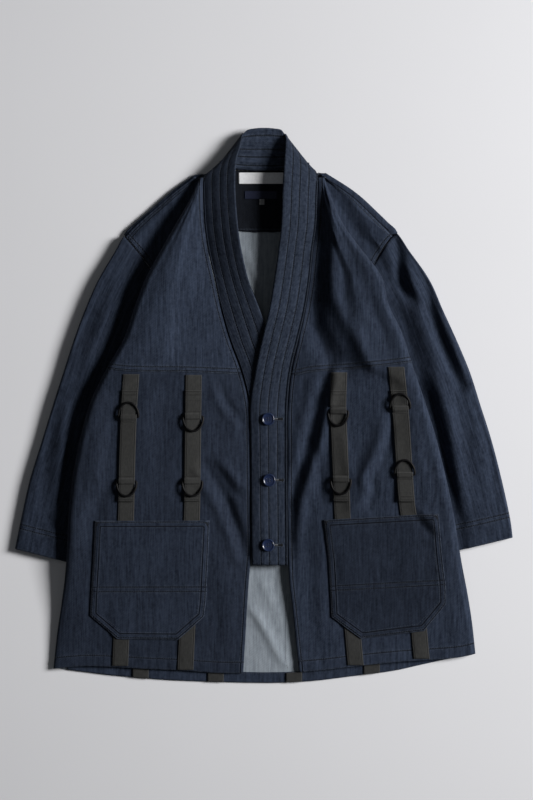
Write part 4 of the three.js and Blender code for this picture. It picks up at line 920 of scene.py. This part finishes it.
backCreases = (
    (6, 3, (-20, -306), (-8, -321), (4, -342), (18, -369), (32, -393)),
    (6, 1.0, (-4, -262), (8, -290), (20, -312)),
    (7, 1.4, (-30, 236), (-12, 196), (4, 168)),
    (6, 1.2, (-38, 214), (-22, 178), (-6, 150)),
)


# The outside of the cloth shows on the rolled lips and along the top.
def backMarks(u, v, x, y):
    return {"shade": np.maximum(smooth((y - 225) / 4) * smooth((np.abs(x) - 72) / 4), smooth((y - 340) / 3))}


gridPiece("back_cloth", back["across"], back["along"], backPoint, (denimInside, denim), cloth["thick"],
          marks=backMarks, replaced=("back",))

facing = {"top": 2.6, "rows": table(
    "y right left", (354, -78, 70), (347, -84, 75), (310, -84, 76), (285, -76, 70), (262, -50, 46))}


def facingPoint(u, v):
    rows = facing["rows"]
    y = mix(rows["y"][0], rows["y"][-1], v)
    x = mix(at(rows, "y", "right", y), at(rows, "y", "left", y), u)
    low = smooth((v - 0.75) / 0.25)
    z = facing["top"] + 0.5 + 0.5 * unevenness(x, y, 1, 210)
    z = z + low * (0.8 + 0.9 * ripple(x, 0, 9, 211) + 0.5 * ripple(x, 0, 4.5, 212))
    return x, y + low * 1.6 * ripple(x, 0, 12, 213), np.maximum(z, facing["top"])


gridPiece("neck_facing", 80, 40, facingPoint, (denimFacingShaded,), 0.8, replaced=("back_facing",))


def labelPiece(name, node, look, lift, taller=0):
    low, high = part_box(node)

    def surface(u, v):
        x, y = mix(low.x / mm, high.x / mm, u), mix(high.y / mm + taller, low.y / mm, v)
        z = topOf(made["neck_facing"], x, y) + 0.75 + lift * np.sin(math.pi * u)
        return x, y, z + 0.12 * ripple(x, y, 14, 220)
    return gridPiece(name, 40, 14, surface, (look,), 0.5, replaced=(node,))


labelPiece("label_top", "label_main", labelWhite, 0.5, 5)
labelPiece("label_low", "label_small", labelNavy, 0.3)
labelPiece("label_tab", "size_tab", labelGrey, 0.2)

backHemLook = {"turn": 16, "from": -296, "to": 298, "top": 2.7, "edge": 0.4}


def hemPoint(u, v):
    x = mix(backHemLook["from"], backHemLook["to"], u)
    away = mix(backHemLook["turn"], backHemLook["edge"], v)
    y = at(backHem, "x", "y", x) + away
    return x, y, backHemLook["top"] + 0.25 + 0.2 * ripple(x, y, 12, 230) + puckers(away - 13, x, 0.4, 4, 231)


gridPiece("back_hem_cloth", 240, 8, hemPoint, (denim,), cloth["thick"], replaced=("back_hem",))
for i, middleX in enumerate(backStraps):
    def strapEnd(u, v):
        x = middleX + (u - 0.5) * webbing["wide"]
        y = at(backHem, "x", "y", x) + mix(backHemLook["turn"] - 1, backHemLook["edge"], v)
        return x, y, topOf(made["back_hem_cloth"], x, y) + webbing["thick"] + 0.2
    gridPiece(f"back_strap_end_{i + 1}", 12, 10, strapEnd, (webbingCloth,), webbing["thick"],
              cut=lambda u, v: (u * webbing["wide"], v * 15), replaced=(f"back_strap_{i + 1}",))
print("back made")

# ---- collar: a doubled band sewn in rows, its left half lapped over the right ----
band = {"across": 36, "wide": 56, "long": 650, "thick": 2.4, "crown": 0.8, "rowDeep": 0.7, "rowWide": 2.6,
        "pucker": 0.35, "skirt": 0.08, "innerRise": 9, "neckRise": 8, "edgeDrop": 2.4, "endShare": 0.011,
        "foot": 3.6}
bandStitches = {"front": (0.03, 0.267, 0.52, 0.745), "back": (0.12, 0.32, 0.5, 0.82)}


# side is 1 for the right half, -1 for the left one and 0 behind the neck.
def bandPoint(rows, along, u, side, stitchRows, seed):
    k = along * (len(rows["k"]) - 1)
    ox, oy, oz, ix, iy, iz = (at(rows, "k", key, k) for key in bandColumns.split()[1:])
    across = np.clip((u - band["skirt"]) / (1 - band["skirt"]), 0, 1)
    turned = np.clip(1 - u / band["skirt"], 0, 1)
    if side == 1:
        iz = iz + band["innerRise"] * smooth(k / 4) * smooth((8.5 - k) / 3)
    if side == -1:
        iz = iz + band["neckRise"] * smooth((k + 0.4) / 2.4) * smooth((6.5 - k) / 3)
    x, y = mix(ox + side * cloth["seamGap"], ix, across), mix(oy, iy, across)
    wide = np.hypot(ix - ox, iy - oy)
    z = mix(oz, iz, across) + band["crown"] * np.sin(math.pi * across)
    for row in stitchRows:
        away = (across - row) * wide
        z = z - band["rowDeep"] * np.exp(-(away / band["rowWide"]) ** 2)
    travel = along * band["long"]
    small = ripple(travel, across * 14, 6.5, seed)
    broad = ripple(travel + across * 30, across * 9, 15, seed + 1)
    z = z + band["pucker"] * (small + 0.8 * broad)
    z = z + 0.5 * ripple(travel, across * 20, 60, seed + 2)
    toEdge = np.clip(1 - (1 - across) * wide / 2.2, 0, 1)
    z = z - 1.6 * (1 - np.sqrt(1 - toEdge ** 2))
    if side == -1:
        z = z - band["edgeDrop"] * smooth((across - 0.72) / 0.28) * smooth((k - 9.5) / 1.5)
    # the turned edge, down to the back's neckline near the top and a short fold further on
    foot = z - 0.8 if side == 0 else mix(band["foot"], z - 0.8, smooth((k - 2.6) / 0.6))
    inwards = 1.4 * turned / wide
    z = mix(z, foot, turned)
    if side:
        z = mix(z, band["foot"], np.clip(1 - along / band["endShare"], 0, 1))
    return x + (ix - ox) * inwards, y + (iy - oy) * inwards, z


def bandPiece(name, rows, along, side, seed, node):
    stitchRows = bandStitches["front" if side else "back"]
    wide, long = band["wide"], band["long"] if side else 90

    def marks(u, v, x, y):
        across = (u - band["skirt"]) / (1 - band["skirt"])
        return {"wear": 0.55 * smooth((u - 0.97) / 0.015) + 0.2,
                "rowsA": rowValue(across * wide, [row * wide for row in stitchRows])}
    gridPiece(name, band["across"], along, lambda u, v: bandPoint(rows, v, u, side, stitchRows, seed),
              (denim, denim), band["thick"], cut=lambda u, v: (u * wide, v * long), marks=marks,
              replaced=(node,))


bandPiece("band_back", bandBack, 60, 0, 240, "collar_back")
bandPiece("band_right", bandRight, 270, 1, 250, "collar_right")
bandPiece("band_left", bandLeft, 270, -1, 260, "collar_left")
print("collar made")

# ---- webbing: four straps, each with a second layer sewn round the rings' bars ----
joints = {joint["child"]: joint for joint in frame["joints"]}
ringNumbers = range(1, 9)
# each ring's bar, and which way along the strap its bow lies from it
bars, bowSide = {}, {}
for number in ringNumbers:
    joint = joints[f"d_ring_{number}"]
    place, axis = Vector(joint["pos_m"]) / mm, Vector(joint["axis"])
    bars[number] = (place, axis if axis.x > 0 else -axis)
    reachY = [v.co.y / mm - place.y for v in frame["nodes"][f"d_ring_{number}"].data.vertices]
    bowSide[number] = 1 if max(reachY) > -min(reachY) else -1
strapLook = {"across": 14, "along": 150, "loopAlong": 190, "under": 1.9, "over": 0.55, "sink": 3.2,
             "slope": 7.5, "edgeRow": 2.4, "edgeSink": 0.35}


def barHeight(number, x):
    place, axis = bars[number]
    return place.z + (x - place.x) * axis.z / axis.x


def ringsOn(i):
    return 2 * i + 1, 2 * i + 2


def strapPiece(i):
    line, numbers = strapLines[i], ringsOn(i)
    panel = made["panel_right" if i < 2 else "panel_left"]
    top, foot = line["y"][0], line["y"][-1]
    wide, thick = webbing["wide"], webbing["thick"]

    def lowLayer(x, y):
        z = topOf(panel, x, y) + cloth["layGap"] * 0.6 + thick
        for number in numbers:
            near = 1 - smooth((np.abs(y - bars[number][0].y) - 2) / 8)
            z = mix(z, np.minimum(z, barHeight(number, x) - strapLook["under"]), near)
        return z

    def place(u, y):
        return at(line, "y", "x", y) + (u - 0.5) * wide, strapLook["edgeSink"] * np.abs(2 * u - 1) ** 8

    def strapSurface(u, v):
        y = mix(top, foot, v)
        x, sink = place(u, y)
        return x, y, lowLayer(x, y) - sink

    def loopSurface(u, v):
        y = mix(loopEnds[0], loopEnds[1], v)
        x, sink = place(u, y)
        z = lowLayer(x, y) + thick + 0.35
        for number in numbers:
            roof = barHeight(number, x) + ring["wire"] / 2 + strapLook["over"] + thick
            towards = (y - bars[number][0].y) * bowSide[number]
            away = smooth((-towards - 1.6) / strapLook["slope"])
            drop = np.where(towards > 0, smooth((towards - 3) / 2.2), away)
            z = np.maximum(z, roof - strapLook["sink"] * 2.2 * drop)
        return x, y, z - sink

    def edgeMarks(u, v, x, y):
        return {"rowsA": rowValue(u * wide, (strapLook["edgeRow"], wide - strapLook["edgeRow"]))}

    def loopMarks(u, v, x, y):
        ends = np.minimum(loopEnds[0] - y, y - loopEnds[1])
        bar = np.minimum(*(np.abs((y - bars[n][0].y) * bowSide[n] + 7.5) for n in numbers))
        barRow = np.clip(bar / seamLook["reach"], -rowEnd, rowEnd)
        return {**edgeMarks(u, v, x, y), "rowsB": np.where(ends < 15, rowValue(ends, (2.2, 7)), barRow)}

    loopLong = loopEnds[0] - loopEnds[1]
    for name, node, cells, surface, long, marks in (
            ("webbing", "strap", strapLook["along"], strapSurface, top - foot, edgeMarks),
            ("webbing_loop", "strap_loop", strapLook["loopAlong"], loopSurface, loopLong, loopMarks)):
        gridPiece(f"{name}_{i + 1}", strapLook["across"], cells, surface, (webbingCloth,), thick,
                  cut=lambda u, v: (u * wide, v * long), marks=marks,
                  replaced=(f"{node}_{i + 1}",))


for i in range(4):
    strapPiece(i)
print("webbing made")

# ---- D-rings: round black wire, a straight bar and a bow ----
ringLook = {"around": 14, "along": 76, "step": 0.003}


def ringPath(count):
    half, corner, tall = ring["inside"] / 2 + ring["wire"] / 2, ring["corner"], ring["tall"]
    bar = [(x, 0) for x in np.linspace(-half + corner, half - corner, 12)]
    turn = np.linspace(0, math.pi / 2, 6)[1:-1]
    first = [(half - corner + corner * math.sin(a), corner - corner * math.cos(a)) for a in turn]
    bow = [(half * math.cos(a), corner + (tall - corner) * math.sin(a)) for a in np.linspace(0, math.pi, 60)]
    last = [(-x, y) for x, y in reversed(first)]
    points = np.array(bar + first + bow + last + bar[:1])
    reach = runAlong(points)
    where = np.asarray(count) * reach[-1]
    return np.interp(where, reach, points[:, 0]), np.interp(where, reach, points[:, 1])


def ringPiece(number):
    place, along = bars[number]
    name = f"d_ring_{number}"

    def offBar(w):
        return w - along * w.dot(along)
    far = max((Vector(v.co) / mm - place for v in frame["nodes"][name].data.vertices),
              key=lambda w: offBar(w).length)
    bow = offBar(far).normalized()
    basis = [np.array(w) for w in (place, along, bow, along.cross(bow))]

    def surface(u, v):
        a, b = ringPath(v)
        a2, b2 = ringPath((v + ringLook["step"]) % 1)
        a1, b1 = ringPath((v - ringLook["step"]) % 1)
        run = np.stack([a2 - a1, b2 - b1], 1)
        run /= np.hypot(*run.T)[:, None]
        turn = u * 2 * math.pi
        out = np.cos(turn) * ring["wire"] / 2
        a, b, c = a + run[:, 1] * out, b - run[:, 0] * out, np.sin(turn) * ring["wire"] / 2
        spots = basis[0] + a[:, None] * basis[1] + b[:, None] * basis[2] + c[:, None] * basis[3]
        return spots.T
    gridPiece(f"ring_{number}", ringLook["around"], ringLook["along"], surface, (blackMetal,), facing="out",
              body=name, replaced=(name,), closedU=True, closedV=True)


for number in ringNumbers:
    ringPiece(number)
print("rings made")

# ---- patch pockets with cut corners, over the straps ----
pocketLook = {"across": 84, "along": 88, "edge": 1.6, "middle": 2.8, "overStrap": 3.1, "tack": 12,
              "edgeRows": (2.2, 8.5), "bar": 100}


def pocketPlace(rows, u, v):
    k = v * (len(rows["k"]) - 1)
    lx, ly, rx, ry = (np.interp(k, rows["k"], rows[key]) for key in ("lx", "ly", "rx", "ry"))
    return mix(lx, rx, u), mix(ly, ry, u)


def pocketCorners(rows):
    down = list(zip(rows["lx"], rows["ly"]))
    return np.array(down + list(zip(rows["rx"], rows["ry"]))[::-1])


def pocketPiece(name, panel, strapsUnder, seed):
    rows = pockets[name]
    topRow = rows["ly"][0]

    def surface(u, v):
        x, y = pocketPlace(rows, u, v)
        rise = np.zeros(np.shape(u))
        for i in strapsUnder:
            away = np.abs(x - at(strapLines[i], "y", "x", y))
            rise = np.maximum(rise, smooth((webbing["wide"] / 2 + 7 - away) / 8))
        inEdge = np.minimum(np.minimum(u, 1 - u) * 170, (1 - v) * 150)
        lift = mix(pocketLook["edge"], pocketLook["middle"], smooth(inEdge / 6))
        z = topOf(panel, x, y) + mix(lift, pocketLook["overStrap"], rise)
        z = z + 0.45 * unevenness(x, y, 1, seed) * smooth(inEdge / 12)
        z = z + puckers(inEdge - 8, x + y, 0.35, 5, seed + 3) + 0.4 * smooth((0.05 - v) / 0.02)
        return x, y, z + puckers(y - (topRow - pocketLook["bar"]), x, 0.4, 5, seed + 5)

    corners = pocketCorners(rows)

    def marks(u, v, x, y):
        edge = polygonDistance(x, y, corners)
        drop = mix(topRow, rows["ry"][0], u) - y
        corner = np.minimum(np.abs(x - rows["lx"][0]), np.abs(x - rows["rx"][0])) + drop
        tack = (corner < pocketLook["tack"]) & (edge > 1)
        return {"wear": 0.55 * smooth((2.2 - edge) / 1.5),
                "rowsA": np.where(tack, 0, rowValue(edge, pocketLook["edgeRows"])),
                "rowsB": rowValue(drop, (pocketLook["bar"], pocketLook["bar"] + 6.5))}
    gridPiece(f"{name}_cloth", pocketLook["across"], pocketLook["along"], surface, bothSides, cloth["thick"],
              marks=marks, replaced=(name,))


pocketPiece("pocket_right", made["panel_right"], (0, 1), 270)
pocketPiece("pocket_left", made["panel_left"], (2, 3), 280)
print("pockets made")

# ---- buttons: glossy, rimmed, four holes, sewn on with crossed thread ----
buttonLook = {"radius": 9.5, "thick": 3.4, "hole": 0.95, "holeOut": 2.6, "around": 80, "rings": 52}


def buttonPiece(number):
    low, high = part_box(f"button_{number}")
    centre = (low + high) / 2 / mm
    top = high.z / mm
    radius, thick = buttonLook["radius"], buttonLook["thick"]
    profile = np.array([
        (0, -1.3), (3.6, -1.25), (6.2, -1.05), (7.1, -0.75), (7.7, -0.2), (8.3, 0), (8.9, -0.15), (9.35, -0.7),
        (radius, -1.5), (9.3, -2.3), (8.6, -3.0), (7.6, -thick), (0.01, -thick)])
    reach = runAlong(profile)

    def surface(u, v):
        where = v * reach[-1]
        r, z = np.interp(where, reach, profile[:, 0]), np.interp(where, reach, profile[:, 1])
        a = u * 2 * math.pi
        x, y = r * np.cos(a), r * np.sin(a)
        for k in range(4):
            b = math.pi / 4 + k * math.pi / 2
            hole = buttonLook["holeOut"]
            away = np.hypot(x - hole * math.cos(b), y - hole * math.sin(b))
            z = z - np.where(v < 0.5, 1.5 * smooth((buttonLook["hole"] - away) / 0.35), 0)
        return centre.x + x, centre.y + y, top + z
    disc = gridPiece(f"button_{number}_disc", buttonLook["around"], buttonLook["rings"], surface,
                     (navyPlastic,), facing="out", replaced=(f"button_{number}",),
                     closedU=True, closedV=True)
    for k in (-1, 1):
        spot = [centre.x * mm, (centre.y + k * 1.84) * mm, (top - 1.0) * mm]
        threads.setdefault((disc.name, threadLook), []).append(
            [*spot, 4.6 * mm, 0, 0, 0, 1.1 * mm, 0, 0, 0, 0.9 * mm])
    return centre


# Buttonholes: a slit painted black as the shadow in its opening at each button's outer side, closed round with
# satin stitches.
slit = {"from": 5, "to": 22, "wide": 2.2, "eye": 3.6, "satinAway": 2.1, "eyeAway": 3.1}


def buttonholePiece(number, centre):
    under = made["band_left"]

    def surface(u, v):
        x = centre.x + mix(slit["from"], slit["to"], u)
        wide = slit["wide"] / 2 + (slit["eye"] - slit["wide"]) / 2 * smooth((u - 0.8) / 0.1)
        rounding = np.sqrt(np.clip(1 - np.clip((u - 0.9) / 0.1, 0, 1) ** 2, 0, 1))
        y = centre.y + (v - 0.5) * 2 * wide * rounding
        return x, y, topOf(under, x, y) + 0.12
    gridPiece(f"buttonhole_{number}", 24, 4, surface, (slitShadow,), 0.1)
    for away in (-slit["satinAway"], slit["satinAway"]):
        y = centre.y + away
        line = straight((centre.x + slit["from"] - 1, y), (centre.x + slit["to"] - 3, y), 80)
        sew(under, line, 0.85, 2.3, 0.75, turn=math.pi / 2, rise=0.15)
    a = np.linspace(-1.5, 1.5, 20)
    eyeX = centre.x + slit["to"] - 2.4 + slit["eyeAway"] * np.cos(a)
    eye = pairs(eyeX, centre.y + slit["eyeAway"] * np.sin(a))
    sew(under, eye, 0.8, 2.3, 0.75, turn=math.pi / 2, rise=0.15)
    shank = straight((centre.x + 9, centre.y + 0.4), (centre.x + 14.5, centre.y + 0.4), 6)
    sew(under, shank, 1.6, 2.4, 1.5, shankThread, rise=0.5)


centres = {number: buttonPiece(number) for number in (1, 2, 3)}
for number, centre in centres.items():
    buttonholePiece(number, centre)
print("buttons made")

# ---- seams ----
seamX = {"right": np.linspace(-225, -38, 60), "left": np.linspace(46, 213, 60)}
for label, side in (("right", right), ("left", left)):
    yoke, panel, arm = made[f"yoke_{label}"], made[f"panel_{label}"], made[f"sleeve_{label}_cloth"]
    inward, cap = side["inward"], made[f"shoulder_{label}"]
    x = seamX[label]
    for away in (1.8, 7.8):
        sew(yoke, pairs(x, at(yokeSeam, "x", "y", x) + away))
    x = np.linspace(side["hem"]["x"][0] + 8, side["hem"]["x"][-1] - 12, 60)
    sew(panel, pairs(x, at(side["hem"], "x", "y", x) + 17))
    edgeY, bodyY = np.linspace(-246, -385, 30), np.linspace(330, -236, 160)
    for piece, y, away in ((panel, edgeY, 6), (yoke, bodyY[bodyY > 62], 5.5), (panel, bodyY[bodyY < 44], 5.5)):
        sew(piece, pairs(bodyAt(side, "seam", y) - inward * away, y))
    hole = shoulderAt(side, np.linspace(0.02, 0.4, 40))
    for away in (2.0, 8.0):
        sew(cap, offsetLine(hole, away * inward))
    y = np.linspace(330, 262, 30)
    sew(cap, pairs(armAt(side, "out", y) + inward * (side["shoulderSeam"] + 6), y))
    for away in (sleeve["cuffHem"] - 2, sleeve["cuffHem"] + 4):
        share = np.linspace(0.02, 0.62, 40)
        outerY, innerY = (level + away for level in side["cuff"])
        outer = np.array([armAt(side, "out", outerY), outerY])
        inner = np.array([at(side["underarm"], "y", "x", innerY), innerY])
        sew(arm, mix(outer, inner, share[:, None]))

for name, rows, kind, count in (
        ("band_right", bandRight, "front", 260), ("band_left", bandLeft, "front", 260),
        ("band_back", bandBack, "back", 50)):
    k = np.linspace(0.1, len(rows["k"]) - 1.05, count)
    ox, oy, ix, iy = (at(rows, "k", key, k) for key in ("ox", "oy", "ix", "iy"))
    for row in bandStitches[kind]:
        sew(made[name], mix(pairs(ox, oy), pairs(ix, iy), row), 3.3, 2.5, 0.7)

for name, rows in pockets.items():
    piece = made[f"{name}_cloth"]
    outline = pocketCorners(rows)
    middleSpot = outline.mean(0)
    for away in pocketLook["edgeRows"]:
        inset = [p + (middleSpot - p) / np.abs(middleSpot - p).max() * away * 1.25 for p in outline]
        for a, b in zip(inset[:-1], inset[1:]):
            sew(piece, straight(a, b, 20))
        if away < 3:
            sew(piece, straight(inset[0], inset[-1], 20))
    for (ax, ay), (bx, by) in ((outline[0], outline[1]), (outline[-1], outline[-2])):
        inside = np.sign(middleSpot[0] - ax)
        for step in np.linspace(1.5, 8, 6):
            tack = straight((ax + inside * step, ay - 1.5), (ax + inside * 1.5 + (bx - ax) * 0.1, ay - step), 6)
            sew(piece, tack, 1.8, 2.0, 0.8, tackThread)
    for drop in (pocketLook["bar"], pocketLook["bar"] + 6):
        lx, rx = (np.interp(drop, rows[y][0] - rows[y], rows[x]) for x, y in (("lx", "ly"), ("rx", "ry")))
        sew(piece, straight((lx + 9, rows["ly"][0] - drop), (rx - 9, rows["ry"][0] - drop), 20))


def sewWebbing(piece, line, pitch=3.4, long=2.6):
    sew(piece, line, pitch, long, 0.6, webbingThread)


for i, line in enumerate(strapLines):
    strap, loop = made[f"webbing_{i + 1}"], made[f"webbing_loop_{i + 1}"]
    for away in (-10, 10):
        y = np.linspace(line["y"][0] - 2, -168, 50)
        y = y[(y > loopEnds[0]) | (y < loopEnds[1])]
        sewWebbing(strap, pairs(at(line, "y", "x", y) + away, y))
        y = np.linspace(loopEnds[0] - 2, loopEnds[1] + 2, 60)
        sewWebbing(loop, pairs(at(line, "y", "x", y) + away, y))
    besideBars = (bars[n][0].y + d for n in ringsOn(i) for d in (-8, 8))
    for y in (loopEnds[0] - 2.5, loopEnds[1] + 2.5, *besideBars):
        x = at(line, "y", "x", y)
        sewWebbing(loop, straight((x - 10, y), (x + 10, y), 8), 3.0, 2.4)

x = np.linspace(-290, 292, 120)
sew(made["back_hem_cloth"], pairs(x, at(backHem, "x", "y", x) + 14))
insideSeam = smoothLine(((35, -284), (33, -307), (32.6, -345), (33, -381), (36, -396)))
sew(made["back_cloth"], insideSeam, 3.0, look=tackThread)
serge = straight((-48, 265.5), (44, 265.5), 40)
sew(made["neck_facing"], serge, 2.2, 3.0, 0.9, turn=math.pi / 2.6)
for name, node, top, foot in (("label_top", "label_main", 346, 334), ("label_low", "label_small", 323, 311.3)):
    low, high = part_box(node)
    for x in (low.x / mm + 1.5, high.x / mm - 1.5):
        sew(made[name], straight((x, top - 0.8), (x, foot + 0.8), 6), 1.6, 1.3, 0.45)


# One mesh of stitches for each piece and thread.
def spindle():
    bm = bmesh.new()
    bmesh.ops.create_uvsphere(bm, u_segments=6, v_segments=3, radius=0.5)
    points = np.array([v.co for v in bm.verts])
    faces = [[v.index for v in f.verts] for f in bm.faces]
    bm.free()
    return points, faces


spindlePoints, spindleFaces = spindle()
stitching = {}
for (name, look), placed in threads.items():
    frames = np.array(placed)
    spots, axes = frames[:, :3], frames[:, 3:].reshape(-1, 3, 3)
    points = (spots[:, None, :] + np.einsum("pk,skx->spx", spindlePoints, axes)).reshape(-1, 3)
    size = len(spindlePoints)
    faces = [[i + n * size for i in face] for n in range(len(placed)) for face in spindleFaces]
    mesh = bpy.data.meshes.new(f"stitches_{name}_{look.name}")
    mesh.from_pydata(points.tolist(), [], faces)
    piece = finishPiece(f"stitches_{name}_{look.name}", mesh, (look,), "garment", ())
    stitching.setdefault(name, []).append(piece)
print("seams made", sum(len(p) for p in threads.values()))

# ---- the area of each sheet ----
for name, area in sorted(sheetAreas.items()):
    print(f"area {name} {area:.4f}")

# ---- floor, light and camera ----
studio = {"floor": (0.66, 0.665, 0.69), "key": 111.0, "fill": 3.0, "sky": 0.05}
bm = bmesh.new()
bmesh.ops.create_grid(bm, x_segments=8, y_segments=8, size=4)
floorMesh = bpy.data.meshes.new("floor")
bm.to_mesh(floorMesh)
bm.free()
floor = bpy.data.objects.new("floor", floorMesh)
floorMesh.transform(Matrix.Translation((0, 0, -0.0002)))
paleFloor, darkFloor = studio["floor"], tuple(c * 0.985 for c in studio["floor"])
floorMesh.materials.append(plainMaterial("floor_grey", paleFloor, darkFloor, 0.7, 3.0, specular=0.2))
scene.collection.objects.link(floor)


def areaLight(name, place, aim, size, energy, colour, angle):
    data = bpy.data.lights.new(name, "AREA")
    data.shape = "RECTANGLE"
    data.size, data.size_y = size
    data.energy = energy
    data.spread = math.radians(angle)
    data.color = colour
    lamp = bpy.data.objects.new(name, data)
    lamp.location = place
    lamp.rotation_euler = (Vector(aim) - Vector(place)).to_track_quat("-Z", "Y").to_euler()
    lamp.visible_camera = False
    scene.collection.objects.link(lamp)


areaLight("key", (4.15, 0.9, 2.65), (0.15, 0.15, 0), (1.7, 1.7), studio["key"], (1.0, 0.99, 0.98), 90)
areaLight("fill", (-0.8, 0.6, 3.2), (0, 0, 0), (2.6, 2.6), studio["fill"], (0.95, 0.98, 1.0), 180)
world = bpy.data.worlds.new("studio")
world.use_nodes = True
world.node_tree.nodes["Background"].inputs[0].default_value = (0.93, 0.96, 1.0, 1)
world.node_tree.nodes["Background"].inputs[1].default_value = studio["sky"]
scene.world = world
scene.view_settings.view_transform = "Standard"

shot = {"middle": (4.1, 8.6), "distance": 3500, "tall": 1200, "plane": 16}
lens = bpy.data.cameras.new("camera")
lens.sensor_width = 36
lens.lens = 36 * (shot["distance"] - shot["plane"]) / shot["tall"]
lens.clip_end = 20
camera = bpy.data.objects.new("camera", lens)
camera.location = (shot["middle"][0] * mm, shot["middle"][1] * mm, shot["distance"] * mm)
scene.collection.objects.link(camera)
scene.camera = camera
print("stage made")
